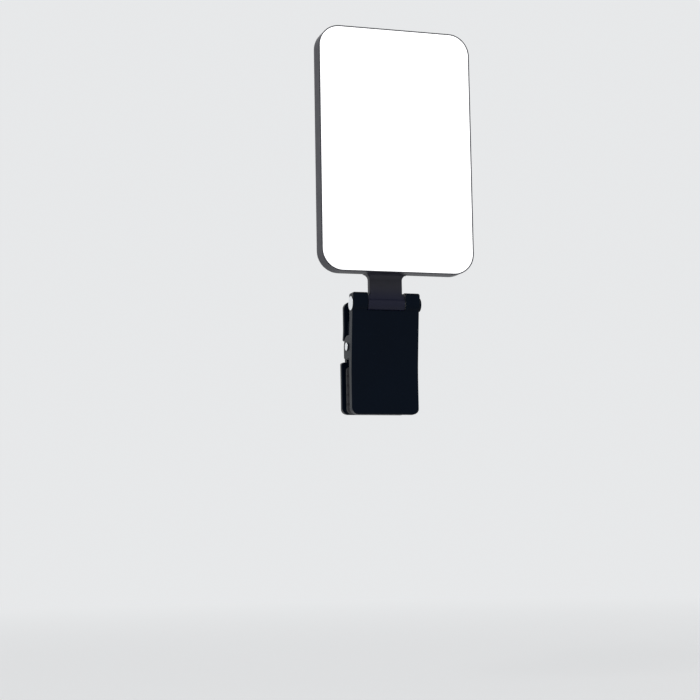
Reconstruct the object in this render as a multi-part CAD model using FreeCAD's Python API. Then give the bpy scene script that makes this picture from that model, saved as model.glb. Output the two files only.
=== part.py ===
"""Portable LED video light: a flat light panel on a hinged spring clip.

Millimetres. X runs to the right, Y away from the viewer and Z up. The origin is the centre of the contact
face of the front jaw's pad, which looks along +Y. The rest pose holds the two jaws jaw_gap apart.
"""
import FreeCAD, Part
import math
import os
from FreeCAD import Vector

# Panel housing
panel_width = 71.0
panel_height = 110.0
panel_depth = 11.0
panel_corner_radius = 9.7
panel_back_radius = 3.5
panel_front_radius = 0.25
panel_wall = 1.6
panel_lip = 0.4
panel_offset = 4.1
panel_above_axis = 12.9
panel_before_axis = 9.1

# Diffuser, reflector frame and LED board
diffuser_thickness = 1.6
diffuser_clearance = 0.1
diffuser_edge_radius = 0.4
seat_gap = 0.05
inner_clearance = 0.2
frame_height = 2.95
frame_rim_front = 1.2
frame_rim_back = 3.4
frame_pad_radius = 3.1
led_board_thickness = 1.0
led_pitch_x = 9.5
led_pitch_z = 9.4
led_margin_x = 6.5
led_margin_z = 7.9
led_width = 2.8
led_length = 3.5
led_height = 0.75

# Screws from the back that clamp housing, LED board and frame
case_screw_inset = 8.2
case_screw_radius = 1.0
case_screw_head_radius = 1.9
case_screw_head_height = 1.3
case_screw_head_edge = 0.52
case_screw_head_depth = 2.4
case_screw_thread = 1.8
case_screw_clearance = 0.15
case_post_radius = 3.1
post_clearance = 0.3
driver_socket_radius = 0.8
driver_socket_depth = 0.7

# Battery, inside margins from the panel's outline
cell_side_margin = 14.5
cell_top_margin = 13.0
cell_bottom = 37.0
cell_edge_radius = 1.1
cell_seam_height = 3.0
cell_seam_thickness = 0.7
cell_gap = 0.25
tape_margin_x = 4.0
tape_margin_z = 5.0
tape_thickness = 0.4

# Control board, inside margins from the panel's sides
board_left_margin = 10.5
board_right_margin = 3.1
board_bottom = 6.0
board_top = 31.0
board_thickness = 0.8
board_gap = 0.25
stake_radius = 0.8
stake_clearance = 0.1
stake_inset = 14.5
stake_height = 9.0
standoff_radius = 2.0
switch_size = 4.6
switch_height = 1.15
plunger_radius = 1.1
plug_width = 6.6
plug_height = 4.2
plug_depth = 2.3
plug_margin = 6.0
plug_z = 25.5
choke_size = 5.0
choke_height = 2.2
choke_x = 19.0
choke_z = 25.0
chip_size = 4.0
chip_height = 0.9
chip_x = 10.5

# Charging inlet
socket_centre_height = 19.0
socket_centre_depth = 7.35
socket_long = 8.9
socket_short = 3.2
socket_length = 7.4
socket_wall = 0.35
socket_back_wall = 1.2
socket_inset = 0.3
socket_tongue_thickness = 0.7
socket_tongue_margin = 1.1
socket_tongue_setback = 1.2
socket_clearance = 0.15
socket_tab_width = 1.4
socket_tab_reach = 0.8
socket_tab_thickness = 0.3

# Buttons and charge indicator on the back
button_height_on_panel = 16.0
button_pitch = 15.0
power_button_radius = 4.6
small_button_radius = 3.8
button_proud = 0.5
button_flange = 1.0
button_flange_thickness = 0.65
button_flange_gap = 0.1
button_edge_radius = 0.4
button_gap = 0.2
button_travel = 0.4
button_stop_gap = 0.05
button_bay_depth = 0.5
button_bay_margin = 2.2
indicator_height_on_panel = 27.0
indicator_count = 4
indicator_pitch = 4.0
indicator_radius = 0.8
indicator_strip_height = 3.0
indicator_strip_thickness = 0.8
indicator_clearance = 0.05
indicator_led_size = 1.2
indicator_led_height = 0.6

# Neck and tilt hinge
neck_width = 15.2
neck_thickness = 3.2
neck_before_axis = 2.7
neck_edge_radius = 0.8
neck_flare = 2.5
neck_flare_steps = 4
neck_root = 1.2
knuckle_width = 17.0
knuckle_radius = 3.3
knuckle_shoulder = 3.9
knuckle_edge_radius = 0.6
knuckle_foot_radius = 0.2
slot_gap = 0.3
tilt_pin_radius = 1.5
tilt_head_radius = 3.15
tilt_head_height = 0.35
tilt_head_edge = 0.2
tilt_cap_height = 0.7
tilt_cap_grip = 0.4
running_clearance = 0.05
seated_clearance = 0.03
washer_thickness = 0.5
washer_radius = 2.6
washer_gap = 0.1

# Front jaw
jaw_width = 31.2
jaw_length = 48.9
jaw_before_axis = 2.15
jaw_slope_deg = 6.0
jaw_bend_radius = 100.0
jaw_bend_start = 24.0
jaw_pad_plate = 3.8
jaw_face_thickness = 2.4
jaw_rim_width = 2.2
jaw_edge_radius = 0.5
jaw_end_radius = 1.2
jaw_corner_radius = 3.0
head_before_axis = 3.3
head_behind_axis = 3.0
head_above_axis = 4.9
head_root = 4.6
head_corner_radius = 1.4
head_blend_radius = 1.5
head_side_radius = 1.0
pocket_top = 7.5
pocket_bottom = 24.6
pocket_rib_x = 8.4
pocket_rib_width = 1.2
pocket_rib_height = 1.0

# Jaw pivot
jaw_pin_behind_axis = 6.5
jaw_pin_below_axis = 18.5
jaw_pin_radius = 1.5
jaw_pin_head_radius = 1.8
jaw_pin_head_height = 0.6
jaw_pin_head_edge = 0.15
jaw_pin_recess = 0.6
jaw_pin_spread = 0.5
lug_radius = 5.0
lug_rear = 5.6
lug_drop = 5.3
lug_corner_radius = 1.2
lug_counterbore_radius = 1.9
cheek_gap = 0.4
cheek_thickness = 2.2
cheek_floor_gap = 0.7
cheek_top_below_axis = 5.0
cheek_bottom_below_pin = 3.5
cheek_root = 0.9

# Back jaw with its lever, set back from the front jaw's sides
jaw_gap = 9.4
lever_setback = 0.8
lever_above_axis = 2.6
lever_behind_axis = 13.0
lever_thickness = 2.4
lever_corner_radius = 3.4
lever_bend_top = 8.0
lever_bend_bottom = 24.2
back_plate_thickness = 2.6
back_plate_setback = 0.3
back_plate_bottom = 48.0
back_edge_radius = 0.5
waist_overlap = 1.5
waist_gap = 0.7
waist_corner_radius = 1.0
grip_rib_count = 5
grip_rib_pitch = 2.0
grip_rib_start = 0.4
grip_rib_inset = 4.0
grip_rib_proud = 0.45
grip_rib_height = 1.0
grip_rib_root = 0.5

# Pads
pad_side_margin = 2.3
pad_height = 21.0
pad_thickness = 1.5
pad_recess = 0.5
pad_corner_radius = 2.0
pad_clearance = 0.1
pad_below_axis = 37.0
groove_count = 4
groove_pitch = 4.2
groove_width = 1.0
groove_depth = 0.4

# Torsion spring
spring_wire_radius = 0.42
spring_radius = 2.6
spring_pitch = 0.95
spring_turns = 4
spring_end_below_axis = 8.6
spring_seat_gap = 0.02

# Construction: how far a tool passes beyond the surface it opens, how deep one form sits in another, how much a
# rounded end falls short of a half circle, and how close two places count as one
overcut = 1.0
form_root = 0.1
round_end_gap = 0.01
same_place = 1e-4

# Places measured from the tilt axis: y behind it, z above it
jaw_slope = math.radians(jaw_slope_deg)
bend_y = -jaw_before_axis + math.tan(jaw_slope) * jaw_bend_start
bend_end_z = -jaw_bend_start - jaw_bend_radius * math.sin(jaw_slope)
jaw_front_y = bend_y + jaw_bend_radius * (1 - math.cos(jaw_slope))
jaw_inner_y = jaw_front_y + jaw_pad_plate
front_pad_seat_y = jaw_inner_y - pad_recess
front_pad_face_y = front_pad_seat_y + pad_thickness
back_pad_face_y = front_pad_face_y + jaw_gap
back_pad_seat_y = back_pad_face_y + pad_thickness
back_plate_y = back_pad_seat_y - pad_recess
axis_y = -front_pad_face_y
axis_z = pad_below_axis
pin_y = axis_y + jaw_pin_behind_axis
pin_z = axis_z - jaw_pin_below_axis

# Half widths of what fits side by side in the clip
jaw_side = jaw_width / 2
slot_half = knuckle_width / 2 + slot_gap
rim_inner = jaw_side - jaw_rim_width
cheek_outer = rim_inner - cheek_gap
cheek_inner = cheek_outer - cheek_thickness
washer_recess = washer_thickness + washer_gap - slot_gap
lever_width = jaw_width - 2 * lever_setback
back_plate_width = jaw_width - 2 * back_plate_setback
grip_rib_width = lever_width - 2 * grip_rib_inset
pad_width = jaw_width - 2 * pad_side_margin

# Sizes of what lies inside the panel
led_columns = int((panel_width - 2 * led_margin_x) / led_pitch_x)
led_rows = int((panel_height - 2 * led_margin_z) / led_pitch_z)
cell_width = panel_width - 2 * cell_side_margin
cell_height = panel_height - cell_top_margin - cell_bottom
tape_width = cell_width - 2 * tape_margin_x
tape_height = cell_height - 2 * tape_margin_z
board_left = board_left_margin - panel_width / 2
board_right = panel_width / 2 - board_right_margin
stake_x = panel_width / 2 - stake_inset
plug_x = board_left + plug_margin

# Depths behind the panel's front face
ledge_depth = diffuser_thickness + seat_gap
frame_back = ledge_depth + frame_height
led_board_front = frame_back + seat_gap
led_board_back = led_board_front + led_board_thickness
wall_depth = panel_depth - panel_wall
cell_front = led_board_back + cell_gap
cell_back = wall_depth - tape_thickness
board_front = led_board_back + board_gap
board_back = board_front + board_thickness
flange_front = wall_depth - button_flange_gap - button_flange_thickness
plunger_top = flange_front - button_travel - button_stop_gap


def at_depth(depth):
    """Y of a depth behind the panel's front face."""
    return axis_y - panel_before_axis + depth


def at_height(height):
    """Z of a height above the panel's lower edge."""
    return axis_z + panel_above_axis + height


def jaw_face_y(below):
    """Front face of the front jaw, from the tilt axis, on its sloping upper half."""
    return -jaw_before_axis + math.tan(jaw_slope) * below


def from_axis(y, z):
    """A point of a side profile, given from the tilt axis."""
    return Vector(0, axis_y + y, axis_z + z)


def box(x0, x1, y0, y1, z0, z1):
    return Part.makeBox(x1 - x0, y1 - y0, z1 - z0, Vector(x0, y0, z0))


def rod_x(radius, x0, x1, y, z):
    return Part.makeCylinder(radius, x1 - x0, Vector(x0, y, z), Vector(1, 0, 0))


def rod_y(radius, y0, y1, x, z):
    return Part.makeCylinder(radius, y1 - y0, Vector(x, y0, z), Vector(0, 1, 0))


def line(a, b):
    return Part.LineSegment(a, b).toShape()


def quarter(a, b, centre):
    """Arc from a to b round centre, through the middle of the shorter way."""
    middle = (a + b) * 0.5 - centre
    middle.normalize()
    return Part.Arc(a, centre + middle * (a - centre).Length, b).toShape()


def rounded_outline(x0, x1, z0, z1, low_radius, high_radius, y):
    """Closed outline in a plane of constant Y, with its own radius at the two lower and two upper corners."""
    a, b = Vector(x0 + low_radius, y, z0), Vector(x1 - low_radius, y, z0)
    c, d = Vector(x1, y, z0 + low_radius), Vector(x1, y, z1 - high_radius)
    e, f = Vector(x1 - high_radius, y, z1), Vector(x0 + high_radius, y, z1)
    g, h = Vector(x0, y, z1 - high_radius), Vector(x0, y, z0 + low_radius)
    return Part.Wire([
        line(a, b), quarter(b, c, Vector(x1 - low_radius, y, z0 + low_radius)),
        line(c, d), quarter(d, e, Vector(x1 - high_radius, y, z1 - high_radius)),
        line(e, f), quarter(f, g, Vector(x0 + high_radius, y, z1 - high_radius)),
        line(g, h), quarter(h, a, Vector(x0 + low_radius, y, z0 + low_radius))])


def plate(x0, x1, y0, y1, z0, z1, radius, high_radius=None):
    """Plate with rounded corners, from y0 to y1."""
    outline = rounded_outline(x0, x1, z0, z1, radius, radius if high_radius is None else high_radius, y0)
    return Part.Face(outline).extrude(Vector(0, y1 - y0, 0))


def panel_plate(margin, depth0, depth1, radius):
    """Plate that keeps a margin from the panel's outline, between two depths."""
    half = panel_width / 2 - margin
    return plate(panel_offset - half, panel_offset + half, at_depth(depth0), at_depth(depth1),
                 at_height(margin), at_height(panel_height - margin), radius)


def along_x(edges, x0, x1):
    """Solid from a closed side profile, between x0 and x1."""
    face = Part.Face(Part.Wire(edges))
    face.translate(Vector(x0, 0, 0))
    return face.extrude(Vector(x1 - x0, 0, 0))


def polygon_along_x(points, x0, x1):
    return along_x([line(a, b) for a, b in zip(points, points[1:] + points[:1])], x0, x1)


def edges_where(shape, test):
    """Edges whose two ends and middle all pass the test."""
    found = []
    for edge in shape.Edges:
        middle = edge.valueAt((edge.FirstParameter + edge.LastParameter) / 2)
        if all(test(point) for point in [middle] + [vertex.Point for vertex in edge.Vertexes]):
            found.append(edge)
    return found


def near(value, target):
    return abs(value - target) < same_place


def fuse_all(shapes):
    return shapes[0].multiFuse(shapes[1:]).removeSplitter()


def both_sides(shape):
    """The shape and its mirror image across the clip's middle plane."""
    return [shape, shape.mirror(Vector(0, 0, 0), Vector(1, 0, 0))]


def case_screw_places():
    """X and Z of the four corner screws."""
    half_x = panel_width / 2 - case_screw_inset
    half_z = panel_height / 2 - case_screw_inset
    return [(panel_offset + sx * half_x, at_height(panel_height / 2 + sz * half_z))
            for sx in (-1, 1) for sz in (-1, 1)]


def button_places():
    """Name, X and radius of the three buttons, from left to right as seen from the front."""
    return [("plus_button", panel_offset - button_pitch, small_button_radius),
            ("power_button", panel_offset, power_button_radius),
            ("minus_button", panel_offset + button_pitch, small_button_radius)]


def indicator_places():
    first = panel_offset - indicator_pitch * (indicator_count - 1) / 2
    return [first + indicator_pitch * i for i in range(indicator_count)]


def stake_places():
    return [(panel_offset + side * stake_x, at_height(stake_height)) for side in (-1, 1)]


def housing_shell():
    """Tray with rounded back edges, a thin lip round the diffuser and a ledge behind it."""
    outer = panel_plate(0, 0, panel_depth, panel_corner_radius)
    back, front = at_depth(panel_depth), at_depth(0)
    outer = outer.makeFillet(panel_back_radius, edges_where(outer, lambda p: near(p.y, back)))
    outer = outer.makeFillet(panel_front_radius, edges_where(outer, lambda p: near(p.y, front)))
    mouth = panel_plate(panel_lip, -overcut, ledge_depth, panel_corner_radius - panel_lip)
    cavity = panel_plate(panel_wall, -overcut, wall_depth, panel_corner_radius - panel_wall)
    inner_back = at_depth(wall_depth)
    cavity = cavity.makeFillet(panel_back_radius - panel_wall,
                               edges_where(cavity, lambda p: near(p.y, inner_back)))
    return outer.cut(mouth).cut(cavity)


def neck_section(grow, z):
    """Section of the neck at height z, grown to the front and the sides."""
    half = neck_width / 2 + grow
    front, back = axis_y - neck_before_axis - grow, axis_y - neck_before_axis + neck_thickness
    radius = neck_edge_radius
    corners = [Vector(-half, back, z), Vector(-half, front + radius, z), Vector(-half + radius, front, z),
               Vector(half - radius, front, z), Vector(half, front + radius, z), Vector(half, back, z)]
    return Part.Wire([
        line(corners[0], corners[1]), quarter(corners[1], corners[2], Vector(-half + radius, front + radius, z)),
        line(corners[2], corners[3]), quarter(corners[3], corners[4], Vector(half - radius, front + radius, z)),
        line(corners[4], corners[5]), line(corners[5], corners[0])])


def neck():
    """Flat neck that flares into the panel's underside by a quarter round."""
    underside = at_height(0)
    start = underside - neck_flare
    straight = Part.Face(neck_section(0, axis_z)).extrude(Vector(0, 0, start - axis_z))
    sections = []
    for step in range(neck_flare_steps + 1):
        turn = math.pi / 2 * step / neck_flare_steps
        sections.append(neck_section(neck_flare * (1 - math.cos(turn)), start + neck_flare * math.sin(turn)))
    flare = Part.makeLoft(sections, True, False)
    root = Part.Face(neck_section(0, start)).extrude(Vector(0, 0, neck_flare + neck_root))
    return [straight, flare, root]


def knuckle():
    """Barrel and shoulder of the hinge at the lower end of the neck."""
    half = knuckle_width / 2
    front = axis_y - neck_before_axis
    barrel = rod_x(knuckle_radius, -half, half, axis_y, axis_z)
    shoulder = plate(-half, half, front, front + neck_thickness, axis_z - neck_edge_radius,
                     axis_z + knuckle_shoulder, knuckle_foot_radius, knuckle_edge_radius)
    return [barrel, shoulder]


def housing_posts():
    """Screw posts, board standoffs and the stakes that hold the control board."""
    posts = [rod_y(case_post_radius, at_depth(led_board_back + seat_gap), at_depth(wall_depth), x, z)
             for x, z in case_screw_places()]
    for x, z in stake_places():
        posts.append(rod_y(standoff_radius, at_depth(board_back), at_depth(wall_depth), x, z))
        posts.append(rod_y(stake_radius, at_depth(board_front), at_depth(wall_depth), x, z))
    return posts


def housing_cuts():
    """Screw holes, button bay, button holes, indicator holes, inlet and hinge bore."""
    cuts = []
    for x, z in case_screw_places():
        seat = at_depth(panel_depth - case_screw_head_depth)
        cuts.append(rod_y(case_screw_head_radius + case_screw_clearance, seat, at_depth(panel_depth + overcut), x, z))
        cuts.append(rod_y(case_screw_radius + case_screw_clearance, at_depth(led_board_front), seat, x, z))
    bay_half_x = button_pitch + small_button_radius + button_bay_margin
    bay_half_z = power_button_radius + button_bay_margin
    bay_z = at_height(button_height_on_panel)
    cuts.append(plate(panel_offset - bay_half_x, panel_offset + bay_half_x, at_depth(panel_depth - button_bay_depth),
                      at_depth(panel_depth + overcut), bay_z - bay_half_z, bay_z + bay_half_z,
                      bay_half_z - round_end_gap))
    for name, x, radius in button_places():
        cuts.append(rod_y(radius + button_gap, at_depth(wall_depth - overcut), at_depth(panel_depth), x, bay_z))
    for x in indicator_places():
        cuts.append(rod_y(indicator_radius + indicator_clearance, at_depth(wall_depth - overcut),
                          at_depth(panel_depth + overcut), x, at_height(indicator_height_on_panel)))
    cuts.append(inlet_opening())
    cuts.append(rod_x(tilt_pin_radius + running_clearance, -knuckle_width, knuckle_width, axis_y, axis_z))
    return cuts


def rear_housing():
    body = fuse_all([housing_shell()] + neck() + knuckle() + housing_posts())
    body = body.cut(Part.makeCompound(housing_cuts()))
    return body.removeSplitter()


def slot_along_x(long_size, short_size, x0, x1):
    """Rod of stadium section, upright, at the charging inlet."""
    y, z = at_depth(socket_centre_depth), at_height(socket_centre_height)
    radius = short_size / 2
    reach = long_size / 2 - radius
    middle = box(x0, x1, y - radius, y + radius, z - reach, z + reach)
    return fuse_all([middle, rod_x(radius, x0, x1, y, z - reach), rod_x(radius, x0, x1, y, z + reach)])


def socket_mouth_x():
    return panel_offset + panel_width / 2 - socket_inset


def inlet_opening():
    """Hole in the right side wall, with the inlet's clearance all round."""
    outside = panel_offset + panel_width / 2
    return slot_along_x(socket_long + 2 * socket_clearance, socket_short + 2 * socket_clearance,
                        outside - panel_wall - overcut, outside + overcut)


def charge_socket():
    """Metal shell of the inlet with its back wall, the tongue inside and two tabs on the board."""
    mouth = socket_mouth_x()
    inner_end = mouth - socket_length
    shell = slot_along_x(socket_long, socket_short, inner_end, mouth)
    hollow = slot_along_x(socket_long - 2 * socket_wall, socket_short - 2 * socket_wall,
                          inner_end + socket_back_wall, mouth + overcut)
    y, z = at_depth(socket_centre_depth), at_height(socket_centre_height)
    reach = socket_long / 2 - socket_tongue_margin
    tongue = box(inner_end, mouth - socket_tongue_setback, y - socket_tongue_thickness / 2,
                 y + socket_tongue_thickness / 2, z - reach, z + reach)
    tab_reach = socket_long / 2 + socket_clearance + socket_tab_reach
    tabs = box(inner_end + socket_back_wall, inner_end + socket_back_wall + socket_tab_width, at_depth(board_back),
               at_depth(board_back + socket_tab_thickness), z - tab_reach, z + tab_reach)
    return shell.fuse(tabs).cut(hollow).fuse(tongue).removeSplitter()


def diffuser():
    """Milky front plate, flush with the lip, with a softened front edge."""
    margin = panel_lip + diffuser_clearance
    body = panel_plate(margin, 0, diffuser_thickness, panel_corner_radius - margin)
    front = at_depth(0)
    return body.makeFillet(diffuser_edge_radius, edges_where(body, lambda p: near(p.y, front)))


def frame_window(rim, depth, radius):
    margin = panel_wall + inner_clearance + rim
    half = panel_width / 2 - margin
    return rounded_outline(panel_offset - half, panel_offset + half, at_height(margin),
                           at_height(panel_height - margin), radius, radius, at_depth(depth))


def reflector_frame():
    """White frame with sloping inner walls and a blind screw pad in each corner."""
    margin = panel_wall + inner_clearance
    radius = panel_corner_radius - margin
    body = panel_plate(margin, ledge_depth, frame_back, radius)
    window = Part.makeLoft([frame_window(frame_rim_back, frame_back, radius - frame_rim_back),
                            frame_window(frame_rim_front, ledge_depth, radius - frame_rim_front)], True, True)
    pads = [rod_y(frame_pad_radius, at_depth(ledge_depth), at_depth(frame_back), x, z)
            for x, z in case_screw_places()]
    thread = case_screw_thread + seat_gap
    holes = [rod_y(case_screw_radius + seated_clearance, at_depth(frame_back - thread), at_depth(frame_back), x, z)
             for x, z in case_screw_places()]
    return fuse_all([body.cut(window)] + pads).cut(Part.makeCompound(holes))


def led_board():
    margin = panel_wall + inner_clearance
    body = panel_plate(margin, led_board_front, led_board_back, panel_corner_radius - margin)
    holes = [rod_y(case_screw_radius + case_screw_clearance, at_depth(led_board_front - overcut),
                   at_depth(led_board_back + overcut), x, z) for x, z in case_screw_places()]
    return body.cut(Part.makeCompound(holes))


def led_chips():
    """Grid of LEDs on the front of the board."""
    chips = []
    for column in range(led_columns):
        for row in range(led_rows):
            x = panel_offset + (column - (led_columns - 1) / 2) * led_pitch_x
            z = at_height(panel_height / 2 + (row - (led_rows - 1) / 2) * led_pitch_z)
            chips.append(box(x - led_width / 2, x + led_width / 2, at_depth(led_board_front - led_height),
                             at_depth(led_board_front), z - led_length / 2, z + led_length / 2))
    return Part.makeCompound(chips)


def case_screws():
    """Four pan head screws with a round driver socket."""
    screws = []
    for x, z in case_screw_places():
        seat = at_depth(panel_depth - case_screw_head_depth)
        head_end = seat + case_screw_head_height
        head = rod_y(case_screw_head_radius, seat, head_end, x, z)
        head = head.makeFillet(case_screw_head_edge, edges_where(head, lambda p: near(p.y, head_end)))
        shank = rod_y(case_screw_radius, at_depth(frame_back - case_screw_thread), seat, x, z)
        socket = rod_y(driver_socket_radius, head_end - driver_socket_depth, head_end + overcut, x, z)
        screws.append(head.fuse(shank).cut(socket).removeSplitter())
    return Part.makeCompound(screws)


def battery_cell():
    """Flat pouch with rounded long edges and the folded seam at its top."""
    half = cell_width / 2
    bottom = at_height(cell_bottom)
    top = bottom + cell_height
    front, back = at_depth(cell_front), at_depth(cell_back)
    pouch = box(panel_offset - half, panel_offset + half, front, back, bottom, top - cell_seam_height)
    sides = (panel_offset - half, panel_offset + half)
    pouch = pouch.makeFillet(cell_edge_radius, edges_where(pouch, lambda p: near(p.x, sides[0]) or near(p.x, sides[1])))
    middle = (front + back) / 2
    seam = box(sides[0] + cell_edge_radius, sides[1] - cell_edge_radius, middle - cell_seam_thickness / 2,
               middle + cell_seam_thickness / 2, top - cell_seam_height - overcut, top)
    return pouch.fuse(seam).removeSplitter()


def battery_tape():
    middle = at_height(cell_bottom + (cell_height - cell_seam_height) / 2)
    return box(panel_offset - tape_width / 2, panel_offset + tape_width / 2, at_depth(cell_back),
               at_depth(wall_depth), middle - tape_height / 2, middle + tape_height / 2)


def control_board():
    """Circuit board, cut away for the inlet and the lower screw posts, with holes for the stakes."""
    body = box(panel_offset + board_left, panel_offset + board_right, at_depth(board_front), at_depth(board_back),
               at_height(board_bottom), at_height(board_top))
    post_reach = case_post_radius + post_clearance
    inner_side = panel_width / 2 - case_screw_inset - post_reach
    corner = box(inner_side, panel_width, at_depth(0), at_depth(panel_depth), axis_z,
                 at_height(case_screw_inset + post_reach))
    corners = [corner.translated(Vector(panel_offset, 0, 0)),
               corner.mirror(Vector(0, 0, 0), Vector(1, 0, 0)).translated(Vector(panel_offset, 0, 0))]
    z = at_height(socket_centre_height)
    reach = socket_long / 2 + socket_clearance
    notch = box(socket_mouth_x() - socket_length - socket_clearance, panel_offset + panel_width, at_depth(0),
                at_depth(panel_depth), z - reach, z + reach)
    holes = [rod_y(stake_radius + stake_clearance, at_depth(0), at_depth(panel_depth), x, z)
             for x, z in stake_places()]
    for tool in [notch] + corners + holes:
        body = body.cut(tool)
    return body


def tact_switches():
    """One switch with its plunger under each button."""
    z = at_height(button_height_on_panel)
    half = switch_size / 2
    switches = []
    for name, x, radius in button_places():
        base = box(x - half, x + half, at_depth(board_back), at_depth(board_back + switch_height), z - half, z + half)
        plunger = rod_y(plunger_radius, at_depth(board_back), at_depth(plunger_top), x, z)
        switches.append(base.fuse(plunger).removeSplitter())
    return Part.makeCompound(switches)


def driver_parts():
    """Choke and driver chip on the back of the control board."""
    z = at_height(choke_z)
    choke_middle = panel_offset + choke_x
    choke = box(choke_middle - choke_size / 2, choke_middle + choke_size / 2, at_depth(board_back),
                at_depth(board_back + choke_height), z - choke_size / 2, z + choke_size / 2)
    chip_middle = panel_offset + chip_x
    chip = box(chip_middle - chip_size / 2, chip_middle + chip_size / 2, at_depth(board_back),
               at_depth(board_back + chip_height), z - chip_size / 2, z + chip_size / 2)
    return Part.makeCompound([choke, chip])


def battery_plug():
    x, z = panel_offset + plug_x, at_height(plug_z)
    return box(x - plug_width / 2, x + plug_width / 2, at_depth(board_back), at_depth(board_back + plug_depth),
               z - plug_height / 2, z + plug_height / 2)


def indicator_lens():
    """Clear strip behind the back wall with a round window through it for each charge level."""
    z = at_height(indicator_height_on_panel)
    half = indicator_pitch * indicator_count / 2
    parts = [box(panel_offset - half, panel_offset + half, at_depth(wall_depth - indicator_strip_thickness),
                 at_depth(wall_depth), z - indicator_strip_height / 2, z + indicator_strip_height / 2)]
    for x in indicator_places():
        parts.append(rod_y(indicator_radius, at_depth(wall_depth - indicator_strip_thickness),
                           at_depth(panel_depth), x, z))
    return fuse_all(parts)


def indicator_leds():
    half = indicator_led_size / 2
    z = at_height(indicator_height_on_panel)
    return Part.makeCompound([box(x - half, x + half, at_depth(board_back), at_depth(board_back + indicator_led_height),
                                  z - half, z + half) for x in indicator_places()])


def button(x, radius):
    """Round cap with a rounded edge, and the flange that keeps it behind the wall."""
    z = at_height(button_height_on_panel)
    outer = at_depth(panel_depth + button_proud)
    cap = rod_y(radius, at_depth(flange_front), outer, x, z)
    cap = cap.makeFillet(button_edge_radius, edges_where(cap, lambda p: near(p.y, outer)))
    flange = rod_y(radius + button_flange, at_depth(flange_front), at_depth(flange_front + button_flange_thickness), x, z)
    return cap.fuse(flange).removeSplitter()


def tilt_pin():
    """Hinge pin with a flat polished head on the left."""
    head = rod_x(tilt_head_radius, -jaw_side - tilt_head_height, -jaw_side, axis_y, axis_z)
    outer = -jaw_side - tilt_head_height
    head = head.makeFillet(tilt_head_edge, edges_where(head, lambda p: near(p.x, outer)))
    return head.fuse(rod_x(tilt_pin_radius, -jaw_side, jaw_side + tilt_cap_grip, axis_y, axis_z)).removeSplitter()


def tilt_pin_cap():
    """Push-on cap over the end of the hinge pin."""
    outer = jaw_side + tilt_cap_height
    cap = rod_x(tilt_head_radius, jaw_side, outer, axis_y, axis_z)
    cap = cap.makeFillet(tilt_head_edge, edges_where(cap, lambda p: near(p.x, outer)))
    return cap.cut(rod_x(tilt_pin_radius + seated_clearance, jaw_side - overcut,
                         jaw_side + tilt_cap_grip + seated_clearance, axis_y, axis_z))


def friction_washers():
    inner = slot_half + washer_recess - washer_thickness
    ring = rod_x(washer_radius, inner, inner + washer_thickness, axis_y, axis_z)
    ring = ring.cut(rod_x(tilt_pin_radius + running_clearance, 0, jaw_side, axis_y, axis_z))
    return Part.makeCompound(both_sides(ring))


def head_blend():
    """Blend between the jaw's sloping face and the round head: its end on each, and its centre."""
    along = Vector(0, math.sin(jaw_slope), -math.cos(jaw_slope))
    out = Vector(0, -math.cos(jaw_slope), -math.sin(jaw_slope))
    foot = Vector(0, -jaw_before_axis, 0)
    reach = head_before_axis + head_blend_radius
    start = foot + out * head_blend_radius
    drop = math.sqrt(start.dot(along) ** 2 - start.dot(start) + reach ** 2) - start.dot(along)
    centre = start + along * drop
    ends = [foot + along * drop, centre * (head_before_axis / reach), centre]
    return [from_axis(point.y, point.z) for point in ends]


def jaw_profile():
    """Side profile of the front jaw: round head, sloping grip, slow bend and upright pad plate."""
    on_slope, on_head, blend_centre = head_blend()
    r, e = head_corner_radius, jaw_end_radius
    top, low = head_above_axis, -jaw_length
    front, rear = -head_before_axis, head_behind_axis
    bend_turn = jaw_slope / 2
    bend_middle = (jaw_front_y - jaw_bend_radius * (1 - math.cos(bend_turn)),
                   bend_end_z + jaw_bend_radius * math.sin(bend_turn))
    p = from_axis
    return [
        line(p(bend_y, -jaw_bend_start), on_slope),
        quarter(on_slope, on_head, blend_centre),
        quarter(on_head, p(front, 0), p(0, 0)),
        line(p(front, 0), p(front, top - r)),
        quarter(p(front, top - r), p(front + r, top), p(front + r, top - r)),
        line(p(front + r, top), p(rear - r, top)),
        quarter(p(rear - r, top), p(rear, top - r), p(rear - r, top - r)),
        line(p(rear, top - r), p(rear, -head_root)),
        line(p(rear, -head_root), p(jaw_inner_y, -pocket_bottom)),
        line(p(jaw_inner_y, -pocket_bottom), p(jaw_inner_y, low + e)),
        quarter(p(jaw_inner_y, low + e), p(jaw_inner_y - e, low), p(jaw_inner_y - e, low + e)),
        line(p(jaw_inner_y - e, low), p(jaw_front_y + e, low)),
        quarter(p(jaw_front_y + e, low), p(jaw_front_y, low + e), p(jaw_front_y + e, low + e)),
        line(p(jaw_front_y, low + e), p(jaw_front_y, bend_end_z)),
        Part.Arc(p(jaw_front_y, bend_end_z), p(*bend_middle), p(bend_y, -jaw_bend_start)).toShape()]


def jaw_blank():
    """The jaw's solid form with its hinge bore, softened side edges and corners rounded as seen from the front."""
    blank = along_x(jaw_profile(), -jaw_side, jaw_side)
    blank = blank.cut(rod_x(tilt_pin_radius + seated_clearance, -jaw_width, jaw_width, axis_y, axis_z))
    bore_edge = tilt_pin_radius + running_clearance
    blank = blank.makeFillet(jaw_edge_radius, edges_where(blank, lambda p: near(abs(p.x), jaw_side) and
                                                          math.hypot(p.y - axis_y, p.z - axis_z) > bore_edge))
    outline = plate(-jaw_side, jaw_side, axis_y - jaw_length, axis_y + jaw_length, axis_z - jaw_length,
                    axis_z + head_above_axis, jaw_corner_radius, head_side_radius)
    return blank.common(outline)


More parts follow.
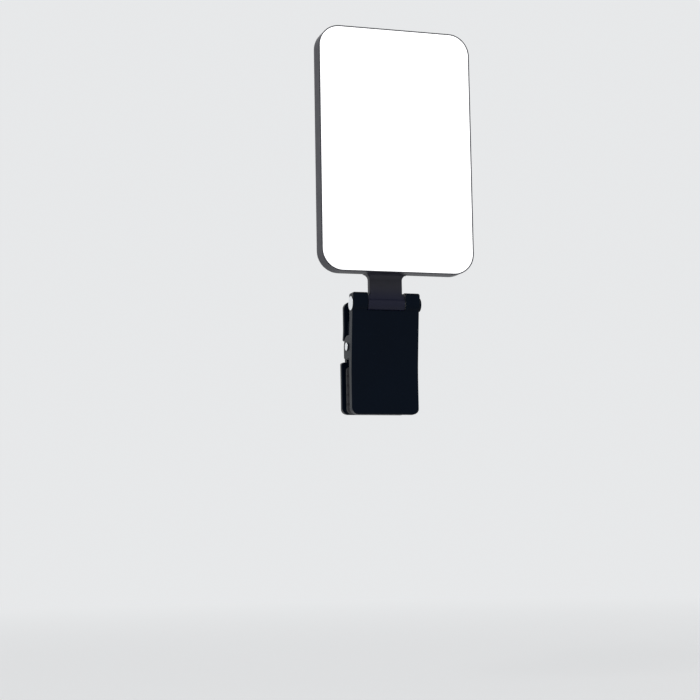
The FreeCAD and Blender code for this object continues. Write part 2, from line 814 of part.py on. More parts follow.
def jaw_pocket():
    """Hollow behind the grip, which leaves a face, two rims and two ribs."""
    top = (jaw_face_y(pocket_top) + jaw_face_thickness, -pocket_top)
    bottom = (jaw_face_y(pocket_bottom) + jaw_face_thickness, -pocket_bottom)
    far = jaw_inner_y + overcut
    pocket = polygon_along_x([from_axis(*top), from_axis(far, -pocket_top), from_axis(far, -pocket_bottom),
                              from_axis(*bottom)], -rim_inner, rim_inner)
    rib_points = [from_axis(top[0] - form_root, top[1]), from_axis(top[0] + pocket_rib_height, top[1]),
                  from_axis(bottom[0] + pocket_rib_height, bottom[1]), from_axis(bottom[0] - form_root, bottom[1])]
    rib = polygon_along_x(rib_points, pocket_rib_x - pocket_rib_width / 2, pocket_rib_x + pocket_rib_width / 2)
    return pocket.cut(Part.makeCompound(both_sides(rib)))


def lug():
    """Right lug for the jaw pin: round above, straight behind down to its end over the gripped edge."""
    front = jaw_face_y(jaw_pin_below_axis) + jaw_face_thickness - jaw_pin_behind_axis
    rear, foot, corner = lug_rear, -lug_drop, lug_corner_radius
    centre = rear - lug_radius

    def at(y, z):
        return Vector(0, pin_y + y, pin_z + z)

    body = along_x([
        line(at(front, foot), at(centre, foot)), line(at(centre, foot), at(rear - corner, foot)),
        quarter(at(rear - corner, foot), at(rear, foot + corner), at(rear - corner, foot + corner)),
        line(at(rear, foot + corner), at(rear, 0)), quarter(at(rear, 0), at(centre, lug_radius), at(centre, 0)),
        line(at(centre, lug_radius), at(front, lug_radius)), line(at(front, lug_radius), at(front, foot))],
        rim_inner, jaw_side)
    outer = edges_where(body, lambda p: near(p.x, jaw_side) and p.y > pin_y - same_place)
    return body.makeFillet(jaw_edge_radius, outer)


def hinge_slot():
    """Slot in the head for the knuckle: a round seat, open at the top."""
    seat = rod_x(knuckle_radius + slot_gap, -slot_half, slot_half, axis_y, axis_z)
    reach = head_above_axis + head_before_axis
    mouth = box(-slot_half, slot_half, axis_y - reach, axis_y + reach, axis_z, axis_z + reach)
    return fuse_all([seat, mouth])


def washer_seats():
    """Recess for a washer at each side of the slot."""
    reach = slot_half + washer_recess
    return rod_x(washer_radius + running_clearance, -reach, reach, axis_y, axis_z)


def pad_seat(y0, y1):
    """Recess for a pad, with its clearance all round."""
    half = pad_width / 2 + pad_clearance
    reach = pad_height / 2 + pad_clearance
    return plate(-half, half, y0, y1, -reach, reach, pad_corner_radius + pad_clearance)


def front_jaw():
    body = jaw_blank().cut(hinge_slot()).cut(washer_seats()).cut(jaw_pocket())
    body = fuse_all([body] + both_sides(lug()))
    pin_bore = rod_x(jaw_pin_radius + seated_clearance, -jaw_width, jaw_width, pin_y, pin_z)
    counterbore = rod_x(lug_counterbore_radius, jaw_side - jaw_pin_recess, jaw_side + overcut, pin_y, pin_z)
    seat = pad_seat(axis_y + front_pad_seat_y, axis_y + jaw_inner_y + overcut)
    for tool in [seat, pin_bore, counterbore]:
        body = body.cut(tool)
    return body


def front_pad():
    return plate(-pad_width / 2, pad_width / 2, axis_y + front_pad_seat_y, axis_y + front_pad_face_y,
                 -pad_height / 2, pad_height / 2, pad_corner_radius)


def back_pad():
    """Pad with level grooves across its contact face."""
    face = axis_y + back_pad_face_y
    body = plate(-pad_width / 2, pad_width / 2, face, axis_y + back_pad_seat_y,
                 -pad_height / 2, pad_height / 2, pad_corner_radius)
    grooves = []
    for i in range(groove_count):
        z = (i - (groove_count - 1) / 2) * groove_pitch
        grooves.append(box(-pad_width, pad_width, face - overcut, face + groove_depth, z - groove_width / 2,
                           z + groove_width / 2))
    return body.cut(Part.makeCompound(grooves))


def jaw_pin():
    """Rivet through both lugs: a flat head on the left and its far end spread in the counterbore."""
    outer = -jaw_side - jaw_pin_head_height
    floor = jaw_side - jaw_pin_recess
    head = rod_x(jaw_pin_head_radius, outer, -jaw_side, pin_y, pin_z)
    head = head.makeFillet(jaw_pin_head_edge, edges_where(head, lambda p: near(p.x, outer)))
    shank = rod_x(jaw_pin_radius, -jaw_side, floor, pin_y, pin_z)
    spread_end = rod_x(jaw_pin_head_radius, floor, floor + jaw_pin_spread, pin_y, pin_z)
    return head.fuse(shank).fuse(spread_end).removeSplitter()


def s_bend(top_y, low_y):
    """Smooth S from the lever down to the pad plate, upright at both ends."""
    high, low = -lever_bend_top, -lever_bend_bottom
    middle = (high + low) / 2
    curve = Part.BezierCurve()
    curve.setPoles([from_axis(top_y, high), from_axis(top_y, middle), from_axis(low_y, middle), from_axis(low_y, low)])
    return curve.toShape()


def back_jaw_profile():
    """Side profile of the back jaw: rounded lever top, S bend and pad plate with a rounded end."""
    half = lever_thickness / 2
    inner, outer = lever_behind_axis, lever_behind_axis + lever_thickness
    low_inner, low_outer = back_plate_y, back_plate_y + back_plate_thickness
    end = back_plate_thickness / 2
    top, low = lever_above_axis, -back_plate_bottom
    p = from_axis
    return [
        line(p(inner, -lever_bend_top), p(inner, top - half)),
        Part.Arc(p(inner, top - half), p(inner + half, top), p(outer, top - half)).toShape(),
        line(p(outer, top - half), p(outer, -lever_bend_top)),
        s_bend(outer, low_outer),
        line(p(low_outer, -lever_bend_bottom), p(low_outer, low + end)),
        Part.Arc(p(low_outer, low + end), p(low_inner + end, low), p(low_inner, low + end)).toShape(),
        line(p(low_inner, low + end), p(low_inner, -lever_bend_bottom)),
        s_bend(inner, low_inner)]


def softened_band(half):
    """The back jaw's side profile at one width, with softened sides."""
    band = along_x(back_jaw_profile(), -half, half)
    return band.makeFillet(back_edge_radius, edges_where(band, lambda p: near(abs(p.x), half)))


def back_jaw_blank():
    """Lever, waist that passes between the lugs, and pad plate, each within its outline from behind."""
    y0, y1 = axis_y, axis_y + jaw_length
    lever_half, plate_half = lever_width / 2, back_plate_width / 2
    waist_top = pin_z + lug_radius - waist_overlap
    waist_low = pin_z - lug_drop - waist_gap
    lever = plate(-lever_half, lever_half, y0, y1, waist_top, axis_z + lever_above_axis,
                  waist_corner_radius, lever_corner_radius)
    waist = box(-cheek_outer, cheek_outer, y0, y1, waist_low - overcut, waist_top + overcut)
    low = plate(-plate_half, plate_half, y0, y1, axis_z - back_plate_bottom, waist_low,
                jaw_corner_radius, waist_corner_radius)
    return fuse_all([softened_band(lever_half).common(lever),
                     along_x(back_jaw_profile(), -cheek_outer, cheek_outer).common(waist),
                     softened_band(plate_half).common(low)])


def cheek():
    """Right cheek, from the jaw pin's boss to the plate."""
    floor_y = jaw_face_y(jaw_pin_below_axis) + jaw_face_thickness
    radius = jaw_pin_behind_axis - floor_y - cheek_floor_gap
    boss = rod_x(radius, cheek_inner, cheek_outer, pin_y, pin_z)
    low = -jaw_pin_below_axis - cheek_bottom_below_pin + cheek_root
    points = [Vector(0, pin_y, pin_z + radius),
              from_axis(lever_behind_axis + cheek_root, -cheek_top_below_axis),
              from_axis(back_plate_y - cheek_root, low),
              Vector(0, pin_y, pin_z - radius + form_root)]
    return fuse_all([boss, polygon_along_x(points, cheek_inner, cheek_outer)])


def grip_ribs():
    """Level ridges on the lever where the thumb presses."""
    outer = axis_y + lever_behind_axis + lever_thickness
    ribs = []
    for i in range(grip_rib_count):
        top = axis_z - grip_rib_start - i * grip_rib_pitch
        ribs.append(plate(-grip_rib_width / 2, grip_rib_width / 2, outer - grip_rib_root, outer + grip_rib_proud,
                          top - grip_rib_height, top, grip_rib_height / 2 - round_end_gap))
    return ribs


def back_jaw():
    body = fuse_all([back_jaw_blank()] + both_sides(cheek()) + grip_ribs())
    cuts = [rod_x(jaw_pin_radius + running_clearance, -jaw_width, jaw_width, pin_y, pin_z),
            pad_seat(axis_y + back_plate_y - overcut, axis_y + back_pad_seat_y)]
    return body.cut(Part.makeCompound(cuts))


def tangent_turn(target, side):
    """Angle round the jaw pin at which a leg to the target leaves the coil."""
    away = target - Vector(0, pin_y, pin_z)
    return math.atan2(away.z, away.y) + side * math.acos(spring_radius / away.Length)


def leg_end(start, way, target):
    """Point on the line from the coil's end along way, level with the target."""
    return start + way * ((target.z - start.z) / way.z)


def jaw_spring():
    """One bent wire: a coil round the jaw pin, a leg on the front jaw and a leg on the lever."""
    below = spring_end_below_axis
    gap = spring_wire_radius + spring_seat_gap
    front_y = jaw_face_y(below) + jaw_face_thickness + gap / math.cos(jaw_slope)
    front_target = from_axis(front_y, -below)
    lever_target = from_axis(lever_behind_axis - gap, -below)
    first, last = tangent_turn(front_target, 1), tangent_turn(lever_target, -1)
    turns = spring_turns + ((last - first) % (2 * math.pi)) / (2 * math.pi)
    length = turns * spring_pitch
    coil = Part.makeHelix(spring_pitch, length, spring_radius)
    c, s = math.cos(first), math.sin(first)
    coil.Placement = FreeCAD.Placement(FreeCAD.Matrix(
        0, 0, 1, -length / 2,
        c, -s, 0, pin_y,
        s, c, 0, pin_z,
        0, 0, 0, 1))
    edge = coil.Edges[0]
    start, start_way = edge.valueAt(edge.FirstParameter), edge.tangentAt(edge.FirstParameter)
    end, end_way = edge.valueAt(edge.LastParameter), edge.tangentAt(edge.LastParameter)
    front_end = leg_end(start, start_way, front_target)
    path = Part.Wire([line(front_end, start), edge, line(end, leg_end(end, end_way, lever_target))])
    ring = Part.Wire(Part.makeCircle(spring_wire_radius, front_end, start_way))
    return path.makePipeShell([ring], True, False)


def parts():
    """Every piece by its name."""
    pieces = {
        "rear_housing": rear_housing(), "diffuser": diffuser(), "reflector_frame": reflector_frame(),
        "led_board": led_board(), "led_chips": led_chips(), "case_screws": case_screws(),
        "battery_cell": battery_cell(), "battery_tape": battery_tape(), "control_board": control_board(),
        "tact_switches": tact_switches(), "driver_parts": driver_parts(), "battery_plug": battery_plug(),
        "charge_socket": charge_socket(), "indicator_lens": indicator_lens(), "indicator_leds": indicator_leds(),
        "tilt_pin": tilt_pin(), "tilt_pin_cap": tilt_pin_cap(), "friction_washers": friction_washers(),
        "front_jaw": front_jaw(), "front_pad": front_pad(), "jaw_pin": jaw_pin(), "jaw_spring": jaw_spring(),
        "back_jaw": back_jaw(), "back_pad": back_pad()}
    for name, x, radius in button_places():
        pieces[name] = button(x, radius)
    return pieces


def main():
    os.makedirs("parts", exist_ok=True)
    for name, shape in parts().items():
        shape.exportStep("parts/" + name + ".step")


main()
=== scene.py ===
"""Looks of the portable LED video light, in metres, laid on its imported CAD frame."""
import bmesh
import bpy
import math
from mathutils import Matrix, Vector


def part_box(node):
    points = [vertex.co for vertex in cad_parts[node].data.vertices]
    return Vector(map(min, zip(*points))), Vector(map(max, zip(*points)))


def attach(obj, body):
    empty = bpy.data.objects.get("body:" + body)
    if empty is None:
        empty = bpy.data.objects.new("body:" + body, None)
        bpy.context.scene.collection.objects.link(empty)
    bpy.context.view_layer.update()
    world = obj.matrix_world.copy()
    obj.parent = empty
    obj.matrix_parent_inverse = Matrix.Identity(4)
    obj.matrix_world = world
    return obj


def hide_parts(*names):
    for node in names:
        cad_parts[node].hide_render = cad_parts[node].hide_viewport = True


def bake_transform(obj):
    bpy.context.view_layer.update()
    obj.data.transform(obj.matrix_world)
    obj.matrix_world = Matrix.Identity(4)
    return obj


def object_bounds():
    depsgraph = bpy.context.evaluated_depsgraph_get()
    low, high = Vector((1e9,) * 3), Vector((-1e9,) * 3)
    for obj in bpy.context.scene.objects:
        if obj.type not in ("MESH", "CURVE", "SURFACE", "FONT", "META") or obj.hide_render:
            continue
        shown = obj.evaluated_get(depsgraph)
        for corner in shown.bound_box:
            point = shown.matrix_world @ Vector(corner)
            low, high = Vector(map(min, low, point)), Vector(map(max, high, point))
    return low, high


bl_info = {
    "name": "Portable LED video light",
    "version": (1, 0, 0),
    "blender": (4, 5, 0),
    "location": "3D View > Sidebar > Video light",
    "description": "Finishes and small details of a clip-on LED video light",
    "category": "Object",
}

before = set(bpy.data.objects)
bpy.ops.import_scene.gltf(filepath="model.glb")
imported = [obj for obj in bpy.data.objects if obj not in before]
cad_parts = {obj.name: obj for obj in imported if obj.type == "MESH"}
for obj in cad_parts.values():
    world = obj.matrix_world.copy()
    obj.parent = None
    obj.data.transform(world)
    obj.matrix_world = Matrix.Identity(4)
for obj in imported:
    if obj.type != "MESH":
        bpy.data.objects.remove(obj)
cad_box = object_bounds()
MM = 0.001
SHARP_ANGLE = math.radians(32)


# Settings that a user would change

class LightColours(bpy.types.PropertyGroup):
    housing: bpy.props.FloatVectorProperty(
        name="Housing", description="Moulded shell and neck of the panel", subtype="COLOR", size=4,
        min=0.0, max=1.0, default=(0.021, 0.021, 0.031, 1.0))
    # Painted shade: the knuckle colour stands in for the shade on the neck towards the hinge knuckle.
    knuckle: bpy.props.FloatVectorProperty(
        name="Knuckle", description="Painted shade on the neck towards the hinge knuckle at its foot", subtype="COLOR", size=4,
        min=0.0, max=1.0, default=(0.002, 0.003, 0.018, 1.0))
    clip: bpy.props.FloatVectorProperty(
        name="Clip", description="Both jaws of the clip", subtype="COLOR", size=4,
        min=0.0, max=1.0, default=(0.0012, 0.004, 0.010, 1.0))
    diffuser: bpy.props.FloatVectorProperty(
        name="Diffuser", description="Milky front plate", subtype="COLOR", size=4,
        min=0.0, max=1.0, default=(0.92, 0.93, 0.94, 1.0))
    glow: bpy.props.FloatVectorProperty(
        name="Glow", description="Light that the front plate gives", subtype="COLOR", size=4,
        min=0.0, max=1.0, default=(1.0, 1.0, 1.0, 1.0))
    key: bpy.props.FloatVectorProperty(
        name="Keys", description="Power and brightness keys", subtype="COLOR", size=4,
        min=0.0, max=1.0, default=(0.050, 0.055, 0.064, 1.0))
    mark: bpy.props.FloatVectorProperty(
        name="Marks", description="Signs on the keys", subtype="COLOR", size=4,
        min=0.0, max=1.0, default=(0.62, 0.64, 0.66, 1.0))
    pad: bpy.props.FloatVectorProperty(
        name="Pads", description="Rubber pads of the jaws", subtype="COLOR", size=4,
        min=0.0, max=1.0, default=(0.045, 0.045, 0.050, 1.0))
    polished: bpy.props.FloatVectorProperty(
        name="Pin ends", description="Flat bright ends of the hinge pin and the jaw pin", subtype="COLOR", size=4,
        min=0.0, max=1.0, default=(0.86, 0.88, 0.90, 1.0))
    steel: bpy.props.FloatVectorProperty(
        name="Steel", description="Screws and spring wire", subtype="COLOR", size=4,
        min=0.0, max=1.0, default=(0.56, 0.56, 0.57, 1.0))
    charge_light: bpy.props.FloatVectorProperty(
        name="Charge lights", description="Small lights behind the four windows", subtype="COLOR", size=4,
        min=0.0, max=1.0, default=(0.55, 0.78, 1.0, 1.0))
    phosphor: bpy.props.FloatVectorProperty(
        name="Phosphor", description="Round field on each LED of the board", subtype="COLOR", size=4,
        min=0.0, max=1.0, default=(0.90, 0.72, 0.22, 1.0))


class LightSizes(bpy.types.PropertyGroup):
    led_pitch: bpy.props.FloatVectorProperty(
        name="LED pitch", description="Pitch of the LEDs across and up the board", unit="LENGTH", size=2,
        default=(9.5 * MM, 9.4 * MM), min=0.001)
    led_size: bpy.props.FloatVectorProperty(
        name="LED size", description="Width and height of one LED", unit="LENGTH", size=2,
        default=(2.8 * MM, 3.5 * MM), min=0.0005)
    window_pitch: bpy.props.FloatProperty(
        name="Window pitch", description="Pitch of the four charge level windows", unit="LENGTH",
        subtype="DISTANCE", default=4.0 * MM, min=0.001)
    mark_length: bpy.props.FloatProperty(
        name="Sign length", description="Length of the plus and minus signs", unit="LENGTH",
        subtype="DISTANCE", default=3.0 * MM, min=0.001)
    mark_width: bpy.props.FloatProperty(
        name="Sign width", description="Width of a stroke of the signs", unit="LENGTH",
        subtype="DISTANCE", default=0.55 * MM, min=0.0002)
    mark_height: bpy.props.FloatProperty(
        name="Sign height", description="How far the signs stand off the keys", unit="LENGTH",
        subtype="DISTANCE", default=0.06 * MM, min=0.00002)
    power_radius: bpy.props.FloatProperty(
        name="Power sign radius", description="Radius of the open ring on the power key", unit="LENGTH",
        subtype="DISTANCE", default=1.65 * MM, min=0.0005)
    power_opening: bpy.props.FloatProperty(
        name="Power sign opening", description="Angle that the ring leaves open at its top", unit="ROTATION",
        subtype="ANGLE", default=math.radians(76))
    recess_length: bpy.props.FloatProperty(
        name="Cross recess", description="Length of the cross recess in a screw head", unit="LENGTH",
        subtype="DISTANCE", default=2.1 * MM, min=0.0005)
    contact_pitch: bpy.props.FloatProperty(
        name="Contact pitch", description="Pitch of the contact strips in the charging inlet", unit="LENGTH",
        subtype="DISTANCE", default=0.5 * MM, min=0.0001)
    leg_room: bpy.props.FloatProperty(
        name="Leg room", description="Width at each end of the spring that keeps still on its own jaw",
        unit="LENGTH", subtype="DISTANCE", default=1.4 * MM, min=0.0001)
    rim_fade: bpy.props.FloatProperty(
        name="Glow fade", description="Width of the rim over which the glow falls off", unit="LENGTH",
        subtype="DISTANCE", default=1.2 * MM, min=0.0001)


class LightStage(bpy.types.PropertyGroup):
    camera_place: bpy.props.FloatVectorProperty(
        name="Camera place", description="Where the camera stands", subtype="XYZ", size=3, unit="LENGTH",
        default=(-236.5 * MM, -686.1 * MM, -64.7 * MM))
    camera_yaw: bpy.props.FloatProperty(
        name="Camera yaw", description="Turn of the view to the right", unit="ROTATION", subtype="ANGLE",
        default=math.radians(17.92))
    camera_pitch: bpy.props.FloatProperty(
        name="Camera pitch", description="Upward tilt of the view", unit="ROTATION", subtype="ANGLE",
        default=math.radians(6.46))
    camera_roll: bpy.props.FloatProperty(
        name="Camera roll", description="Roll of the view", unit="ROTATION", subtype="ANGLE",
        default=math.radians(-0.96))
    camera_lens: bpy.props.FloatProperty(
        name="Lens", description="Focal length in millimetres on a 36 mm sensor", default=84.34, min=1.0)
    floor_height: bpy.props.FloatProperty(
        name="Floor height", description="Height of the pale floor, well below the clip", unit="LENGTH",
        subtype="DISTANCE", default=-134.0 * MM)
    floor_colour: bpy.props.FloatVectorProperty(
        name="Floor", description="Plain pale floor", subtype="COLOR", size=4, min=0.0, max=1.0,
        default=(0.80, 0.81, 0.82, 1.0))
    floor_near: bpy.props.FloatProperty(
        name="Floor near", description="Distance from the light up to which the floor keeps its full shadow",
        unit="LENGTH", subtype="DISTANCE", default=0.20, min=0.01)
    floor_far: bpy.props.FloatProperty(
        name="Floor far", description="Distance from the light at which the floor has run out into the surroundings",
        unit="LENGTH", subtype="DISTANCE", default=1.10, min=0.05)
    floor_veil: bpy.props.FloatProperty(
        name="Floor veil", description="Share of the surroundings' tone in the near floor", subtype="FACTOR",
        default=0.35, min=0.0, max=0.6)
    world_level: bpy.props.FloatProperty(
        name="World level", description="Strength of the light from all round", default=0.50, min=0.0)
    key_power: bpy.props.FloatProperty(
        name="Key lamp", description="Power of the large lamp at the upper left, in watts", default=5.0, min=0.0)
    fill_power: bpy.props.FloatProperty(
        name="Fill lamp", description="Power of the soft lamp at the right, in watts", default=2.2, min=0.0)
    rim_power: bpy.props.FloatProperty(
        name="Rim lamp", description="Power of the lamp behind and above, in watts", default=3.0, min=0.0)


# Node helpers

def feed(tree, socket, value):
    """Links a node's input to another socket, or gives it a plain value."""
    if isinstance(value, bpy.types.NodeSocket):
        tree.links.new(value, socket)
    else:
        socket.default_value = value


def add_node(tree, kind, **inputs):
    """New node with its inputs fed by name, with _ for a space."""
    node = tree.nodes.new(kind)
    for name, value in inputs.items():
        feed(tree, node.inputs[name.replace("_", " ")], value)
    return node


def math_node(tree, operation, first, second=0.0):
    node = tree.nodes.new("ShaderNodeMath")
    node.operation = operation
    for socket, value in zip(node.inputs, (first, second)):
        feed(tree, socket, value)
    return node.outputs["Value"]


def vector_node(tree, operation, *values):
    node = tree.nodes.new("ShaderNodeVectorMath")
    node.operation = operation
    for socket, value in zip(node.inputs, values):
        feed(tree, socket, value)
    return node.outputs


def mix_colours(tree, share, first, second):
    """Colour between two others, by a 0 to 1 mask."""
    node = tree.nodes.new("ShaderNodeMix")
    node.data_type = "RGBA"
    sockets = {socket.identifier: socket for socket in node.inputs}
    for name, value in (("Factor_Float", share), ("A_Color", first), ("B_Color", second)):
        feed(tree, sockets[name], value)
    return next(socket for socket in node.outputs if socket.identifier == "Result_Color")


def repeat_about(tree, vector, first, pitch):
    """Distance, across the back or front of the panel, to the nearest place of a row or grid."""
    half = (pitch[0] / 2, 1.0, pitch[1] / 2)
    shifted = vector_node(tree, "SUBTRACT", vector, first)["Vector"]
    wrapped = vector_node(tree, "WRAP", shifted, half, tuple(-part for part in half))["Vector"]
    flat = vector_node(tree, "MULTIPLY", wrapped, (1.0, 0.0, 1.0))["Vector"]
    return vector_node(tree, "LENGTH", flat)["Value"]


def spread_about(tree, middle, spread, mask):
    """middle plus spread times how far a 0 to 1 mask is from its half."""
    swing = math_node(tree, "SUBTRACT", mask, 0.5)
    return math_node(tree, "ADD", middle, math_node(tree, "MULTIPLY", swing, spread))


def new_group(name, inputs, outputs):
    """Shader node group with its sockets, and its two end nodes."""
    group = bpy.data.node_groups.new(name, "ShaderNodeTree")
    for socket_name, kind, default in inputs:
        socket = group.interface.new_socket(name=socket_name, in_out="INPUT", socket_type=kind)
        if default is not None:
            socket.default_value = default
    for socket_name, kind in outputs:
        group.interface.new_socket(name=socket_name, in_out="OUTPUT", socket_type=kind)
    start, end = group.nodes.new("NodeGroupInput"), group.nodes.new("NodeGroupOutput")
    return group, start.outputs, end.inputs


def moulded_surface():
    """Fine spark-eroded grain with slow changes of tone and gloss, as on an injection moulding."""
    group, given, made = new_group("Moulded surface", [
        ("Vector", "NodeSocketVector", None), ("Colour", "NodeSocketColor", (0.1, 0.1, 0.1, 1.0)),
        ("Grain Scale", "NodeSocketFloat", 4000.0), ("Tone Scale", "NodeSocketFloat", 60.0),
        ("Tone Spread", "NodeSocketFloat", 0.2), ("Roughness", "NodeSocketFloat", 0.4),
        ("Roughness Spread", "NodeSocketFloat", 0.1)],
        [("Colour", "NodeSocketColor"), ("Roughness", "NodeSocketFloat"), ("Height", "NodeSocketFloat")])
    grain = add_node(group, "ShaderNodeTexNoise", Vector=given["Vector"], Scale=given["Grain Scale"],
                     Detail=2.0, Roughness=0.6)
    tone = add_node(group, "ShaderNodeTexNoise", Vector=given["Vector"], Scale=given["Tone Scale"],
                    Detail=3.0, Roughness=0.55)
    touch = add_node(group, "ShaderNodeTexNoise", Vector=given["Vector"],
                     Scale=math_node(group, "MULTIPLY", given["Tone Scale"], 2.7), Detail=4.0, Distortion=0.8)
    level = spread_about(group, 1.0, given["Tone Spread"], tone.outputs["Fac"])
    tinted = add_node(group, "ShaderNodeHueSaturation", Color=given["Colour"], Value=level)
    gloss = spread_about(group, given["Roughness"], given["Roughness Spread"], touch.outputs["Fac"])
    group.links.new(tinted.outputs["Color"], made["Colour"])
    group.links.new(gloss, made["Roughness"])
    group.links.new(grain.outputs["Fac"], made["Height"])
    return group


def drawn_metal():
    """Fine lines along one direction, from the stretch of the vector that is put in."""
    group, given, made = new_group("Drawn metal", [
        ("Vector", "NodeSocketVector", None), ("Colour", "NodeSocketColor", (0.6, 0.6, 0.6, 1.0)),
        ("Line Scale", "NodeSocketFloat", 1.0), ("Tone Spread", "NodeSocketFloat", 0.2),
        ("Roughness", "NodeSocketFloat", 0.3), ("Roughness Spread", "NodeSocketFloat", 0.2)],
        [("Colour", "NodeSocketColor"), ("Roughness", "NodeSocketFloat"), ("Height", "NodeSocketFloat")])
    lines = add_node(group, "ShaderNodeTexNoise", Vector=given["Vector"], Scale=given["Line Scale"],
                     Detail=3.0, Roughness=0.65)
    level = spread_about(group, 1.0, given["Tone Spread"], lines.outputs["Fac"])
    tinted = add_node(group, "ShaderNodeHueSaturation", Color=given["Colour"], Value=level)
    gloss = spread_about(group, given["Roughness"], given["Roughness Spread"], lines.outputs["Fac"])
    group.links.new(tinted.outputs["Color"], made["Colour"])
    group.links.new(gloss, made["Roughness"])
    group.links.new(lines.outputs["Fac"], made["Height"])
    return group


def board_tracks():
    """Copper tracks that show through the solder mask of a circuit board."""
    group, given, made = new_group("Board tracks", [
        ("Vector", "NodeSocketVector", None), ("Colour", "NodeSocketColor", (0.1, 0.3, 0.15, 1.0)),
        ("Track Scale", "NodeSocketFloat", 400.0), ("Track Tone", "NodeSocketFloat", 0.3)],
        [("Colour", "NodeSocketColor"), ("Height", "NodeSocketFloat")])
    cells = group.nodes.new("ShaderNodeTexVoronoi")
    cells.distance = "CHEBYCHEV"
    cells.feature = "F2"
    group.links.new(given["Vector"], cells.inputs["Vector"])
    group.links.new(given["Track Scale"], cells.inputs["Scale"])
    bands = math_node(group, "FRACT", math_node(group, "MULTIPLY", cells.outputs["Distance"], 5.0))
    track = math_node(group, "GREATER_THAN", bands, 0.55)
    tinted = add_node(group, "ShaderNodeHueSaturation", Color=given["Colour"],
                      Value=math_node(group, "ADD", 1.0, math_node(group, "MULTIPLY", track, given["Track Tone"])))
    group.links.new(tinted.outputs["Color"], made["Colour"])
    group.links.new(track, made["Height"])
    return group


def shared(make):
    """A node group that is built once, by the name of its function."""
    title = make.__name__.replace("_", " ").capitalize()
    return bpy.data.node_groups.get(title) or make()


def new_finish(name, **constants):
    """Material with its Principled shader, whose constant values stand on its own sockets."""
    finish = bpy.data.materials.new(name)
    finish.use_nodes = True
    shader = finish.node_tree.nodes["Principled BSDF"]
    for socket, value in constants.items():
        shader.inputs[socket.replace("_", " ")].default_value = value
    return finish, finish.node_tree, shader


def surface_vector(tree, scale=(1.0, 1.0, 1.0), centre=(0.0, 0.0, 0.0)):
    """Object coordinates, measured from a centre and stretched."""
    place = tree.nodes.new("ShaderNodeTexCoord").outputs["Object"]
    shifted = vector_node(tree, "SUBTRACT", place, centre)["Vector"]
    return add_node(tree, "ShaderNodeMapping", Vector=shifted, Scale=scale).outputs["Vector"]


def place_group(tree, make, **inputs):
    """Shared group in a material, with its inputs fed by name."""
    node = tree.nodes.new("ShaderNodeGroup")
    node.node_tree = shared(make)
    for name, value in inputs.items():
        feed(tree, node.inputs[name.replace("_", " ")], value)
    return node.outputs


def lay_on(tree, shader, made):
    """Leads a group's colour and roughness to the shader's own sockets."""
    for given, taken in (("Colour", "Base Color"), ("Roughness", "Roughness")):
        tree.links.new(made[given], shader.inputs[taken])


def bump(tree, shader, height, distance):
    node = add_node(tree, "ShaderNodeBump", Height=height, Distance=distance, Strength=1.0)
    tree.links.new(node.outputs["Normal"], shader.inputs["Normal"])


def moulded_finish(name, colour, roughness, grain=4000.0, relief=0.000015, tone=0.25, touch=0.12, **constants):
    """Moulded plastic or rubber."""
    finish, tree, shader = new_finish(name, **constants)
    made = place_group(tree, moulded_surface, Vector=surface_vector(tree), Colour=tuple(colour), Grain_Scale=grain,
                       Tone_Spread=tone, Roughness=roughness, Roughness_Spread=touch)
    lay_on(tree, shader, made)
    bump(tree, shader, made["Height"], relief)
    return finish


def metal_finish(name, colour, roughness, stretch, relief=0.000004, tone=0.12, **constants):
    """Drawn or rolled metal with its lines along the least stretched direction."""
    finish, tree, shader = new_finish(name, Metallic=1.0, **constants)
    made = place_group(tree, drawn_metal, Vector=surface_vector(tree, scale=stretch), Colour=tuple(colour),
                       Tone_Spread=tone, Roughness=roughness, Roughness_Spread=0.18)
    lay_on(tree, shader, made)
    bump(tree, shader, made["Height"], relief)
    return finish


def housing_finish(colours):
    """Dark moulded shell, with painted shade that darkens the neck towards the knuckle between the ears of the clip.
    """
    low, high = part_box("tilt_pin")
    axis = (low.z + high.z) / 2
    shade_deepest_below, shade_gone_above = axis + 2.0 * MM, axis + 9.0 * MM
    finish, tree, shader = new_finish("Dark moulded housing", IOR=1.5, Specular_IOR_Level=0.26)
    vector = surface_vector(tree)
    split = add_node(tree, "ShaderNodeSeparateXYZ", Vector=vector)
    # Painted shade: going up from the hinge axis, the colour blends from the dark knuckle shade to the housing
    # colour.
    fresh = add_node(tree, "ShaderNodeMapRange", Value=split.outputs["Z"], From_Min=shade_deepest_below,
                     From_Max=shade_gone_above, To_Min=0.0, To_Max=1.0)
    fresh.interpolation_type = "SMOOTHSTEP"
    tone = mix_colours(tree, fresh.outputs["Result"], tuple(colours.knuckle), tuple(colours.housing))
    made = place_group(tree, moulded_surface, Vector=vector, Colour=tone, Grain_Scale=3800.0, Tone_Spread=0.22,
                       Roughness=0.44, Roughness_Spread=0.10)
    lay_on(tree, shader, made)
    bump(tree, shader, made["Height"], 0.000022)
    return finish


